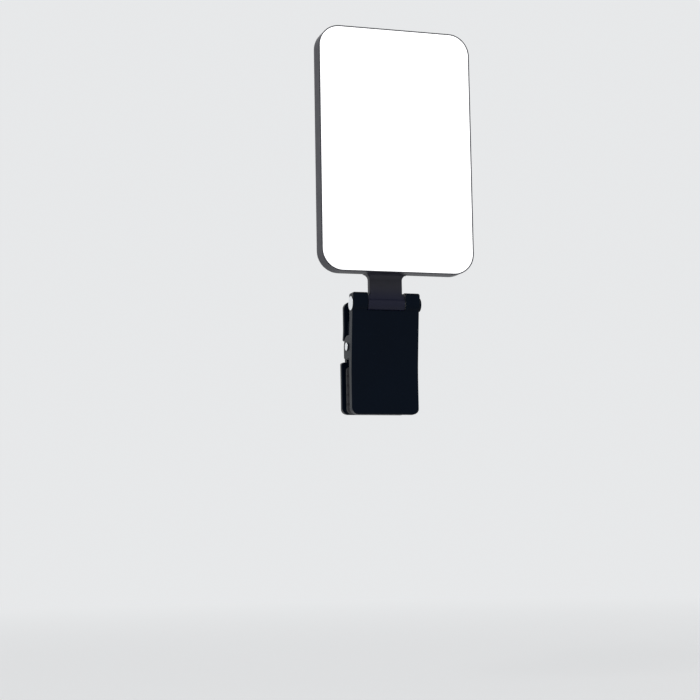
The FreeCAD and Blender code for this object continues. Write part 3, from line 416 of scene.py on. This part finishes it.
def glowing_finish(colours, sizes):
    """Milky plate, evenly lit from behind, with its glow falling off at the very rim."""
    low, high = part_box("diffuser")
    centre, half = (low + high) / 2, (high - low) / 2
    finish, tree, shader = new_finish("Milky diffuser", IOR=1.49)
    vector = surface_vector(tree, centre=tuple(centre))
    made = place_group(tree, moulded_surface, Vector=vector, Colour=tuple(colours.diffuser), Grain_Scale=2500.0,
                       Tone_Spread=0.02, Roughness=0.48, Roughness_Spread=0.06)
    lay_on(tree, shader, made)
    bump(tree, shader, made["Height"], 0.000008)
    split = add_node(tree, "ShaderNodeSeparateXYZ", Vector=vector)
    inside = [math_node(tree, "SUBTRACT", reach, math_node(tree, "ABSOLUTE", split.outputs[axis]))
              for axis, reach in (("X", half.x), ("Z", half.z))]
    fade = add_node(tree, "ShaderNodeMapRange", Value=math_node(tree, "MINIMUM", *inside), From_Min=0.0,
                    From_Max=sizes.rim_fade, To_Min=0.0, To_Max=1.0)
    fade.interpolation_type = "SMOOTHSTEP"
    rim_share = 0.90
    rim = tuple(rim_share * part for part in colours.glow[:3]) + (1.0,)
    light = mix_colours(tree, fade.outputs["Result"], rim, tuple(colours.glow))
    tree.links.new(light, shader.inputs["Emission Color"])
    shader.inputs["Emission Strength"].default_value = 1.0
    return finish


def pin_finish(node, colours, name):
    """Blackened pin whose flat left end is turned bright, with the lathe's faint rings round its axis."""
    low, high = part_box(node)
    middle = (low + high) / 2
    finish, tree, shader = new_finish(name, Metallic=1.0)
    vector = surface_vector(tree, centre=(low.x, middle.y, middle.z))
    split = add_node(tree, "ShaderNodeSeparateXYZ", Vector=vector)
    bright = add_node(tree, "ShaderNodeMapRange", Value=split.outputs["X"], From_Min=0.06 * MM, From_Max=0.10 * MM,
                      To_Min=1.0, To_Max=0.0)
    tone = mix_colours(tree, bright.outputs["Result"], (0.035, 0.036, 0.040, 1.0), tuple(colours.polished))
    polish = add_node(tree, "ShaderNodeMapRange", Value=bright.outputs["Result"], To_Min=0.42, To_Max=0.20)
    made = place_group(tree, drawn_metal, Vector=vector, Colour=tone, Line_Scale=700.0, Tone_Spread=0.05,
                       Roughness=polish.outputs["Result"], Roughness_Spread=0.10)
    rings = add_node(tree, "ShaderNodeTexWave", Vector=vector, Scale=900.0, Distortion=0.4)
    rings.wave_type = "RINGS"
    rings.rings_direction = "X"
    lay_on(tree, shader, made)
    bump(tree, shader, rings.outputs["Fac"], 0.000003)
    return finish


def board_finish(name, colour, tracks, tone):
    finish, tree, shader = new_finish(name, IOR=1.5, Coat_Weight=0.25, Coat_Roughness=0.25)
    vector = surface_vector(tree)
    printed = place_group(tree, board_tracks, Vector=vector, Colour=colour, Track_Scale=tracks, Track_Tone=tone)
    made = place_group(tree, moulded_surface, Vector=vector, Colour=printed["Colour"], Grain_Scale=3000.0,
                       Tone_Spread=0.08, Roughness=0.42, Roughness_Spread=0.1)
    lay_on(tree, shader, made)
    bump(tree, shader, printed["Height"], 0.00003)
    return finish


def pad_finish(colours):
    """Soft rubber with small raised dots against slipping."""
    finish, tree, shader = new_finish("Rubber pad", Specular_IOR_Level=0.35, Sheen_Weight=0.12, Sheen_Roughness=0.5)
    vector = surface_vector(tree)
    made = place_group(tree, moulded_surface, Vector=vector, Colour=tuple(colours.pad), Grain_Scale=5200.0,
                       Tone_Spread=0.3, Roughness=0.78, Roughness_Spread=0.12)
    dots = add_node(tree, "ShaderNodeTexVoronoi", Vector=vector, Scale=850.0, Randomness=0.0)
    rise = add_node(tree, "ShaderNodeMapRange", Value=dots.outputs["Distance"], From_Min=0.18, From_Max=0.36,
                    To_Min=1.0, To_Max=0.0)
    rise.interpolation_type = "SMOOTHSTEP"
    height = math_node(tree, "ADD", rise.outputs["Result"], math_node(tree, "MULTIPLY", made["Height"], 0.25))
    lay_on(tree, shader, made)
    bump(tree, shader, height, 0.00006)
    return finish


def phosphor_finish(colours, sizes):
    """White LED package with its round yellow phosphor field."""
    low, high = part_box("led_chips")
    half = Vector(sizes.led_size) / 2
    finish, tree, shader = new_finish("LED phosphor", Coat_Weight=0.4, Coat_Roughness=0.1)
    vector = surface_vector(tree)
    away = repeat_about(tree, vector, (low.x + half.x, low.y, low.z + half.y), sizes.led_pitch)
    field = add_node(tree, "ShaderNodeMapRange", Value=away, From_Min=1.10 * MM, From_Max=1.25 * MM,
                     To_Min=1.0, To_Max=0.0)
    tone = mix_colours(tree, field.outputs["Result"], (0.90, 0.90, 0.88, 1.0), tuple(colours.phosphor))
    made = place_group(tree, moulded_surface, Vector=vector, Colour=tone, Grain_Scale=9000.0, Tone_Spread=0.12,
                       Roughness=0.35, Roughness_Spread=0.1)
    height = math_node(tree, "SUBTRACT", math_node(tree, "MULTIPLY", made["Height"], 0.3), field.outputs["Result"])
    lay_on(tree, shader, made)
    bump(tree, shader, height, 0.00005)
    return finish


def charge_light_finish(colours):
    """Small coloured light behind a window."""
    finish, tree, shader = new_finish("Charge light")
    made = place_group(tree, moulded_surface, Vector=surface_vector(tree), Colour=tuple(colours.charge_light),
                       Grain_Scale=6000.0, Tone_Spread=0.2, Roughness=0.3, Roughness_Spread=0.1)
    lay_on(tree, shader, made)
    tree.links.new(made["Colour"], shader.inputs["Emission Color"])
    shader.inputs["Emission Strength"].default_value = 1.0
    return finish


def window_finish(colours, sizes):
    """Frosted clear plastic whose round windows glow softly, most in their middles."""
    low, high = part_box("indicator_lens")
    middle = (low + high) / 2
    pitch = sizes.window_pitch
    finish, tree, shader = new_finish("Frosted window", Transmission_Weight=0.35, IOR=1.49)
    vector = surface_vector(tree)
    away = repeat_about(tree, vector, (low.x + pitch / 2, middle.y, middle.z), (pitch, 1.0))
    glow = add_node(tree, "ShaderNodeMapRange", Value=away, From_Min=0.0, From_Max=0.9 * MM, To_Min=1.0, To_Max=0.0)
    glow.interpolation_type = "SMOOTHSTEP"
    made = place_group(tree, moulded_surface, Vector=vector, Colour=(0.80, 0.84, 0.88, 1.0), Grain_Scale=3500.0,
                       Tone_Spread=0.05, Roughness=0.50, Roughness_Spread=0.08)
    light = mix_colours(tree, glow.outputs["Result"], (0.02, 0.03, 0.04, 1.0), tuple(colours.charge_light))
    lay_on(tree, shader, made)
    tree.links.new(light, shader.inputs["Emission Color"])
    shader.inputs["Emission Strength"].default_value = 0.7
    bump(tree, shader, made["Height"], 0.00001)
    return finish


# Mesh helpers

def dress(node, finish):
    """Gives a CAD node its finish in every material slot."""
    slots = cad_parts[node].data.materials
    if not slots:
        raise RuntimeError(node + " has no material slot")
    for i in range(len(slots)):
        slots[i] = finish


def settle(name, bm, body, finish, twist=None):
    """Makes the mesh an object that rides on its body, or, when a twist is given, stands alone with its transform
    baked in.
    """
    bmesh.ops.recalc_face_normals(bm, faces=bm.faces)
    mesh = bpy.data.meshes.new(name)
    bm.to_mesh(mesh)
    bm.free()
    if not mesh.polygons:
        raise RuntimeError(name + " has no faces")
    mesh.shade_smooth()
    mesh.set_sharp_from_angle(angle=SHARP_ANGLE)
    mesh.materials.append(finish)
    piece = bpy.data.objects.new(name, mesh)
    bpy.context.scene.collection.objects.link(piece)
    if twist:
        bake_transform(piece)
    else:
        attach(piece, body)
    return piece


def open_edges(bm):
    return [edge for edge in bm.edges if edge.is_boundary]


def squeeze(bm, length, width, axis):
    """Sets the middle strip of a three by three grid to the width of a stroke."""
    inner = [vert for vert in bm.verts if abs(vert.co[axis]) < length / 4]
    factor = [1.0, 1.0, 1.0]
    factor[axis] = width / (length / 3)
    bmesh.ops.scale(bm, vec=factor, verts=inner)


def cross_sheet(bm, length, width, level_only=False):
    """Flat plus sign, or its level stroke alone, in the XY plane."""
    bmesh.ops.create_grid(bm, x_segments=3, y_segments=3, size=length / 2)
    for axis in (0, 1):
        squeeze(bm, length, width, axis)
    extra = []
    for face in bm.faces:
        middle = face.calc_center_median()
        off_x, off_y = abs(middle.x) > width / 2, abs(middle.y) > width / 2
        if off_y and (off_x or level_only):
            extra.append(face)
    bmesh.ops.delete(bm, geom=extra, context="FACES")


def raise_sheet(bm, height):
    """Gives a flat sheet its thickness and a softened upper edge."""
    lifted = bmesh.ops.extrude_face_region(bm, geom=bm.faces[:])["geom"]
    verts = [item for item in lifted if isinstance(item, bmesh.types.BMVert)]
    bmesh.ops.translate(bm, vec=(0.0, 0.0, height), verts=verts)
    bmesh.ops.recalc_face_normals(bm, faces=bm.faces)
    rim = [edge for edge in bm.edges if all(vert.co.z > height / 2 for vert in edge.verts)
           and edge.calc_face_angle(0.0) > 1.0]
    bmesh.ops.bevel(bm, geom=rim, offset=height / 3, offset_type="OFFSET", affect="EDGES", segments=2,
                    profile=0.5, material=-1)


def onto_key(bm, node):
    """Lays a sign, made flat with its face up, on the outer face of a key."""
    low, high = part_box(node)
    turn = Matrix.Rotation(math.radians(-90), 4, "X")
    place = Vector(((low.x + high.x) / 2, high.y, (low.z + high.z) / 2))
    bmesh.ops.transform(bm, matrix=Matrix.Translation(place) @ turn, verts=bm.verts)


def power_sheet(bm, sizes):
    """Open ring and the upright stroke in its opening, both flat."""
    width, radius, opening = sizes.mark_width, sizes.power_radius, sizes.power_opening
    stroke_length, stroke_place, ring_steps = radius * 1.15, radius * 0.82, 40
    start = bm.verts.new((radius - width / 2, 0.0, 0.0)), bm.verts.new((radius + width / 2, 0.0, 0.0))
    turn = Matrix.Rotation(math.radians(-90) + opening / 2, 4, "Z")
    bmesh.ops.transform(bm, matrix=turn, verts=start)
    bmesh.ops.spin(bm, geom=[*start, bm.edges.new(start)], cent=(0.0, 0.0, 0.0), axis=(0.0, 0.0, 1.0),
                   dvec=(0.0, 0.0, 0.0), angle=2 * math.pi - opening, steps=ring_steps, use_merge=False,
                   use_duplicate=False)
    stroke = bmesh.ops.create_grid(bm, x_segments=1, y_segments=2, size=width / 2)["verts"]
    bmesh.ops.scale(bm, vec=(1.0, stroke_length / width, 1.0), verts=stroke)
    bmesh.ops.translate(bm, vec=(0.0, -stroke_place, 0.0), verts=stroke)


def ring_out(bm, edges, radius, drop, was):
    """Extrudes an open rim to a new radius, drop lower than before."""
    made = bmesh.ops.extrude_edge_only(bm, edges=edges)["geom"]
    verts = [item for item in made if isinstance(item, bmesh.types.BMVert)]
    bmesh.ops.scale(bm, vec=(radius / was, radius / was, 1.0), verts=verts)
    bmesh.ops.translate(bm, vec=(0.0, 0.0, -drop), verts=verts)
    return [item for item in made if isinstance(item, bmesh.types.BMEdge)]


def pan_screw(head_radius, head_height, shank_radius, shank_length, recess_length):
    """Pan head screw with a cross recess and a ridged shank: its head's top is at the origin, its shank down -Z."""
    recess_width, recess_depth, recess_taper = recess_length * 0.26, head_height * 0.62, 0.68
    top_radius, root_radius, tip_radius = head_radius * 0.72, shank_radius * 0.86, shank_radius * 0.55
    dome = [(0.88, 0.10), (0.97, 0.20), (1.0, 0.32), (1.0, 0.38)]
    ridges = 11
    bm = bmesh.new()
    cross_sheet(bm, recess_length, recess_width)
    bmesh.ops.subdivide_edges(bm, edges=open_edges(bm), cuts=1)
    floor = bmesh.ops.extrude_face_region(bm, geom=bm.faces[:])["geom"]
    sunk = [item for item in floor if isinstance(item, bmesh.types.BMVert)]
    bmesh.ops.translate(bm, vec=(0.0, 0.0, -recess_depth), verts=sunk)
    bmesh.ops.scale(bm, vec=(recess_taper, recess_taper, 1.0), verts=sunk)
    lid = [face for face in bm.faces if all(abs(vert.co.z) < 1e-7 for vert in face.verts)]
    bmesh.ops.delete(bm, geom=lid, context="FACES_ONLY")
    mouth = open_edges(bm)
    bmesh.ops.create_circle(bm, cap_ends=False, radius=top_radius, segments=24)
    rim = [edge for edge in open_edges(bm) + [edge for edge in bm.edges if edge.is_wire] if edge not in mouth]
    bmesh.ops.bridge_loops(bm, edges=mouth + rim)
    rim = [edge for edge in open_edges(bm) if edge.verts[0].co.xy.length > top_radius * 0.98]
    was = top_radius
    for share, drop in dome:
        rim = ring_out(bm, rim, head_radius * share, head_height * drop, was)
        was = head_radius * share
    rim = ring_out(bm, rim, root_radius, 0.0, was)
    was = root_radius
    step = shank_length / (2 * ridges + 1)
    for radius in (shank_radius, root_radius) * ridges:
        rim = ring_out(bm, rim, radius, step, was)
        was = radius
    rim = ring_out(bm, rim, tip_radius, step, was)
    bmesh.ops.holes_fill(bm, edges=rim, sides=0)
    return bm


# Operators

class LIGHT_OT_housing(bpy.types.Operator):
    """Dark moulded finish of the panel's shell and neck"""
    bl_idname = "video_light.housing"
    bl_label = "Housing"

    def execute(self, context):
        dress("rear_housing", housing_finish(context.scene.video_light_colours))
        return {"FINISHED"}


class LIGHT_OT_light_face(bpy.types.Operator):
    """Glowing front plate, reflector frame, LED board and LEDs"""
    bl_idname = "video_light.light_face"
    bl_label = "Light face"

    def execute(self, context):
        colours, sizes = context.scene.video_light_colours, context.scene.video_light_sizes
        dress("diffuser", glowing_finish(colours, sizes))
        dress("reflector_frame", moulded_finish("White frame plastic", (0.88, 0.88, 0.86, 1.0), 0.38, tone=0.05))
        dress("led_board", board_finish("White solder mask", (0.88, 0.88, 0.86, 1.0), 160.0, -0.06))
        dress("led_chips", phosphor_finish(colours, sizes))
        return {"FINISHED"}


class LIGHT_OT_inner_parts(bpy.types.Operator):
    """Finishes of the cell, its tape, the control board and what stands on it"""
    bl_idname = "video_light.inner_parts"
    bl_label = "Inner parts"

    def execute(self, context):
        colours = context.scene.video_light_colours
        dress("battery_cell", metal_finish("Foil pouch", (0.72, 0.73, 0.75, 1.0), 0.36, (60.0, 60.0, 20.0),
                                           relief=0.00008, tone=0.08))
        dress("battery_tape", moulded_finish("Foam tape", (0.06, 0.06, 0.06, 1.0), 0.9, grain=2200.0,
                                             relief=0.00008, Specular_IOR_Level=0.2))
        dress("control_board", board_finish("Green solder mask", (0.025, 0.17, 0.075, 1.0), 330.0, 0.55))
        black = moulded_finish("Black component", (0.03, 0.03, 0.034, 1.0), 0.5, grain=6000.0)
        dress("tact_switches", black)
        dress("driver_parts", black)
        dress("battery_plug", moulded_finish("Plug plastic", (0.86, 0.85, 0.80, 1.0), 0.42, tone=0.06))
        dress("friction_washers", moulded_finish("Washer plastic", (0.78, 0.78, 0.74, 1.0), 0.46, tone=0.08))
        dress("indicator_leds", charge_light_finish(colours))
        dress("indicator_lens", window_finish(colours, context.scene.video_light_sizes))
        return {"FINISHED"}


class LIGHT_OT_charging_inlet(bpy.types.Operator):
    """Plated shell of the charging inlet and the contact strips on its tongue"""
    bl_idname = "video_light.charging_inlet"
    bl_label = "Charging inlet"

    def execute(self, context):
        dress("charge_socket", metal_finish("Nickel plated shell", (0.66, 0.65, 0.63, 1.0), 0.26,
                                            (300.0, 3500.0, 3500.0)))
        low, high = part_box("charge_socket")
        middle_z, middle_y = (low.z + high.z) / 2, high.y - 1.6 * MM
        tongue_end, tongue_half = high.x - 1.2 * MM, 0.35 * MM
        pitch = context.scene.video_light_sizes.contact_pitch
        count, setback = 12, 2.6 * MM
        length, thickness, width, tip_share = 4.2 * MM, 0.05 * MM, pitch * 0.5, 0.7
        bm = bmesh.new()
        for side in (-1, 1):
            for i in range(count):
                strip = bmesh.ops.create_cube(bm, size=1.0)["verts"]
                bmesh.ops.scale(bm, vec=(length, thickness, width), verts=strip)
                tip = [vert for vert in strip if vert.co.x > 0]
                bmesh.ops.scale(bm, vec=(1.0, 1.0, tip_share), verts=tip)
                bmesh.ops.translate(bm, verts=strip, vec=(
                    tongue_end - setback, middle_y + side * tongue_half, middle_z + (i - (count - 1) / 2) * pitch))
        gold = metal_finish("Gilt contact", (0.83, 0.62, 0.28, 1.0), 0.22, (400.0, 4000.0, 4000.0))
        settle("inlet_contacts", bm, "panel", gold)
        return {"FINISHED"}


class LIGHT_OT_keys(bpy.types.Operator):
    """Key caps with their plus, power and minus signs"""
    bl_idname = "video_light.keys"
    bl_label = "Keys"

    def execute(self, context):
        colours, sizes = context.scene.video_light_colours, context.scene.video_light_sizes
        cap = moulded_finish("Key plastic", colours.key, 0.52, grain=5200.0, relief=0.00002, tone=0.2)
        print_finish = moulded_finish("Printed sign", colours.mark, 0.45, grain=7000.0, relief=0.000008, tone=0.08)
        for node in ("power_button", "plus_button", "minus_button"):
            dress(node, cap)
        plus, minus, power = bmesh.new(), bmesh.new(), bmesh.new()
        cross_sheet(plus, sizes.mark_length, sizes.mark_width)
        cross_sheet(minus, sizes.mark_length, sizes.mark_width, level_only=True)
        power_sheet(power, sizes)
        for bm, node, body, name in ((plus, "plus_button", "plus_key", "plus_sign"),
                                     (minus, "minus_button", "minus_key", "minus_sign"),
                                     (power, "power_button", "power_key", "power_sign")):
            raise_sheet(bm, sizes.mark_height)
            onto_key(bm, node)
            settle(name, bm, body, print_finish)
        return {"FINISHED"}


class LIGHT_OT_case_screws(bpy.types.Operator):
    """Four pan head screws with a cross recess, in the corners of the back"""
    bl_idname = "video_light.case_screws"
    bl_label = "Case screws"

    def execute(self, context):
        sizes, colours = context.scene.video_light_sizes, context.scene.video_light_colours
        low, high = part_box("case_screws")
        head, shank, height = 1.9 * MM, 1.0 * MM, 1.3 * MM
        one = pan_screw(head, height, shank, (high.y - low.y) - height, sizes.recess_length)
        pattern = bpy.data.meshes.new("screw_pattern")
        one.to_mesh(pattern)
        one.free()
        bm = bmesh.new()
        for x in (low.x + head, high.x - head):
            for z in (low.z + head, high.z - head):
                before = set(bm.verts)
                bm.from_mesh(pattern)
                fresh = [vert for vert in bm.verts if vert not in before]
                driven_home = x * 40 + z * 17  # each screw stops at an angle of its own
                turn = Matrix.Rotation(math.radians(-90), 4, "X") @ Matrix.Rotation(driven_home, 4, "Z")
                bmesh.ops.transform(bm, matrix=Matrix.Translation((x, high.y, z)) @ turn, verts=fresh)
        bpy.data.meshes.remove(pattern)
        plated = metal_finish("Zinc plated steel", colours.steel, 0.30, (900.0, 900.0, 900.0))
        piece = settle("corner_screws", bm, "panel", plated)
        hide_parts("case_screws")
        dress("case_screws", plated)
        return {"FINISHED"}


class LIGHT_OT_clip(bpy.types.Operator):
    """Finishes of the jaws, their pads, the hinge pin, the jaw pin and the spring"""
    bl_idname = "video_light.clip"
    bl_label = "Clip"

    def execute(self, context):
        colours = context.scene.video_light_colours
        black = moulded_finish("Satin black clip", colours.clip, 0.34, grain=5200.0, relief=0.000010, tone=0.3,
                               touch=0.10, IOR=1.5, Specular_IOR_Level=0.05, Sheen_Weight=0.28,
                               Sheen_Roughness=0.3)
        for node in ("front_jaw", "back_jaw", "tilt_pin_cap"):
            dress(node, black)
        rubber = pad_finish(colours)
        for node in ("front_pad", "back_pad"):
            dress(node, rubber)
        dress("tilt_pin", pin_finish("tilt_pin", colours, "Hinge pin steel"))
        dress("jaw_pin", pin_finish("jaw_pin", colours, "Jaw pin steel"))
        self.wind_spring(metal_finish("Spring wire", colours.steel, 0.28, (500.0, 1800.0, 1800.0)),
                         context.scene.video_light_sizes.leg_room)
        return {"FINISHED"}

    def wind_spring(self, finish, leg_room):
        """Spring wire with one leg on each jaw, copied from the CAD spring, welded and left standing unattached to
        either jaw.
        """
        dress("jaw_spring", finish)
        low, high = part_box("jaw_spring")
        wire = bmesh.new()
        wire.from_mesh(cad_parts["jaw_spring"].data)
        bmesh.ops.remove_doubles(wire, verts=wire.verts, dist=0.0001 * MM)
        coil = Vector((low.x + leg_room, 0.0, 0.0)), Vector((high.x - leg_room, 0.0, 0.0))
        piece = settle("spring_wire", wire, "clip", finish, twist=("rear_jaw", *coil))
        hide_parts("jaw_spring")


class LIGHT_OT_stage(bpy.types.Operator):
    """Pale floor, soft lamps, plain surroundings and the camera"""
    bl_idname = "video_light.stage"
    bl_label = "Stage"

    def execute(self, context):
        settings = context.scene.video_light_stage
        self.lay_floor(settings)
        self.light_world(context.scene, settings)
        self.hang_lamps(settings)
        self.set_camera(context.scene, settings)
        context.scene.view_settings.view_transform = "Standard"
        if context.scene.camera is None:
            raise RuntimeError("the stage has no camera")
        return {"FINISHED"}

    def lay_floor(self, settings):
        bm = bmesh.new()
        bmesh.ops.create_grid(bm, x_segments=8, y_segments=8, size=6.0)
        bmesh.ops.translate(bm, vec=(0.0, 0.0, settings.floor_height), verts=bm.verts)
        mesh = bpy.data.meshes.new("floor")
        bm.to_mesh(mesh)
        bm.free()
        mesh.materials.append(self.floor_finish(settings))
        floor = bpy.data.objects.new("floor", mesh)
        bpy.context.scene.collection.objects.link(floor)

    def floor_finish(self, settings):
        """Matt floor that keeps the shadow near the light and runs out into the plain surroundings."""
        finish, tree, shader = new_finish("Pale floor", Specular_IOR_Level=0.2)
        vector = surface_vector(tree, centre=(0.0, 0.0, settings.floor_height))
        made = place_group(tree, moulded_surface, Vector=vector, Colour=tuple(settings.floor_colour),
                           Grain_Scale=900.0, Tone_Scale=6.0, Tone_Spread=0.02, Roughness=0.8,
                           Roughness_Spread=0.05)
        lay_on(tree, shader, made)
        reach = vector_node(tree, "LENGTH", vector)["Value"]
        far = add_node(tree, "ShaderNodeMapRange", Value=reach, From_Min=settings.floor_near,
                       From_Max=settings.floor_far, To_Min=settings.floor_veil, To_Max=1.0)
        far.interpolation_type = "SMOOTHSTEP"
        veil = add_node(tree, "ShaderNodeEmission", Color=tuple(settings.floor_colour), Strength=1.0)
        mix = add_node(tree, "ShaderNodeMixShader",
                       Fac=math_node(tree, "MULTIPLY", far.outputs["Result"], self.directly_seen(tree)))
        tree.links.new(shader.outputs["BSDF"], mix.inputs[1])
        tree.links.new(veil.outputs["Emission"], mix.inputs[2])
        tree.links.new(mix.outputs["Shader"], tree.nodes["Material Output"].inputs["Surface"])
        return finish

    def directly_seen(self, tree):
        """1 for what the camera, gloss or a clear piece shows, 0 for light on the object."""
        paths = tree.nodes.new("ShaderNodeLightPath").outputs
        return math_node(tree, "MAXIMUM", math_node(tree, "MAXIMUM", paths["Is Camera Ray"], paths["Is Glossy Ray"]),
                         paths["Is Transmission Ray"])

    def light_world(self, scene, settings):
        """Soft light from all round, with plain pale surroundings in view, in gloss and through clear pieces."""
        world = bpy.data.worlds.new("Surroundings")
        scene.world = world
        world.use_nodes = True
        tree = world.node_tree
        tree.nodes.clear()
        light = add_node(tree, "ShaderNodeBackground", Color=(1.0, 1.0, 1.0, 1.0), Strength=settings.world_level)
        view = add_node(tree, "ShaderNodeBackground", Color=tuple(settings.floor_colour), Strength=1.0)
        mix = add_node(tree, "ShaderNodeMixShader", Fac=self.directly_seen(tree))
        tree.links.new(light.outputs["Background"], mix.inputs[1])
        tree.links.new(view.outputs["Background"], mix.inputs[2])
        output = tree.nodes.new("ShaderNodeOutputWorld")
        tree.links.new(mix.outputs["Shader"], output.inputs["Surface"])

    def hang_lamps(self, settings):
        target = (cad_box[0] + cad_box[1]) / 2
        for name, place, size, power in (("key_lamp", (-0.85, -0.55, 0.75), 0.7, settings.key_power),
                                         ("fill_lamp", (0.95, -0.25, 0.45), 0.8, settings.fill_power),
                                         ("rim_lamp", (0.15, 0.90, 0.85), 0.6, settings.rim_power)):
            lamp = bpy.data.lights.new(name, "AREA")
            lamp.shape, lamp.size, lamp.energy = "DISK", size, power
            holder = bpy.data.objects.new(name, lamp)
            holder.location = target + Vector(place)
            holder.rotation_mode = "QUATERNION"
            holder.rotation_quaternion = (-Vector(place)).to_track_quat("-Z", "Y")
            bpy.context.scene.collection.objects.link(holder)

    def set_camera(self, scene, settings):
        """Camera at the photograph's viewing angle."""
        yaw, pitch, roll = settings.camera_yaw, settings.camera_pitch, settings.camera_roll
        side = Vector((math.cos(yaw), -math.sin(yaw), 0.0))
        ahead = Vector((math.sin(yaw), math.cos(yaw), 0.0))
        up = Vector((0.0, 0.0, 1.0))
        along = ahead * math.cos(pitch) + up * math.sin(pitch)
        above = up * math.cos(pitch) - ahead * math.sin(pitch)
        right = side * math.cos(roll) + above * math.sin(roll)
        top = above * math.cos(roll) - side * math.sin(roll)
        camera = bpy.data.objects.new("camera", bpy.data.cameras.new("camera"))
        camera.data.lens = settings.camera_lens
        camera.data.sensor_width = 36.0
        camera.matrix_world = Matrix.Translation(settings.camera_place) @ Matrix(
            (right, top, -along)).transposed().to_4x4()
        scene.collection.objects.link(camera)
        scene.camera = camera


class LIGHT_PT_panel(bpy.types.Panel):
    """Lists the pieces of the video light and their settings"""
    bl_idname = "LIGHT_PT_panel"
    bl_label = "Video light"
    bl_space_type = "VIEW_3D"
    bl_region_type = "UI"
    bl_category = "Video light"

    def draw(self, context):
        layout = self.layout
        for operator in OPERATORS:
            layout.operator(operator.bl_idname)
        for settings in (context.scene.video_light_colours, context.scene.video_light_sizes,
                         context.scene.video_light_stage):
            box = layout.box()
            for name in settings.__annotations__:
                box.prop(settings, name)


OPERATORS = (LIGHT_OT_housing, LIGHT_OT_light_face, LIGHT_OT_inner_parts, LIGHT_OT_charging_inlet, LIGHT_OT_keys,
             LIGHT_OT_case_screws, LIGHT_OT_clip, LIGHT_OT_stage)
CLASSES = (LightColours, LightSizes, LightStage) + OPERATORS + (LIGHT_PT_panel,)


def register():
    for item in CLASSES:
        bpy.utils.register_class(item)
    bpy.types.Scene.video_light_colours = bpy.props.PointerProperty(type=LightColours)
    bpy.types.Scene.video_light_sizes = bpy.props.PointerProperty(type=LightSizes)
    bpy.types.Scene.video_light_stage = bpy.props.PointerProperty(type=LightStage)


def unregister():
    del bpy.types.Scene.video_light_stage
    del bpy.types.Scene.video_light_sizes
    del bpy.types.Scene.video_light_colours
    for item in reversed(CLASSES):
        bpy.utils.unregister_class(item)


def main():
    register()
    bpy.ops.video_light.housing()
    bpy.ops.video_light.light_face()
    bpy.ops.video_light.inner_parts()
    bpy.ops.video_light.charging_inlet()
    bpy.ops.video_light.keys()
    bpy.ops.video_light.case_screws()
    bpy.ops.video_light.clip()
    bpy.ops.video_light.stage()


if __name__ == "__main__":
    main()
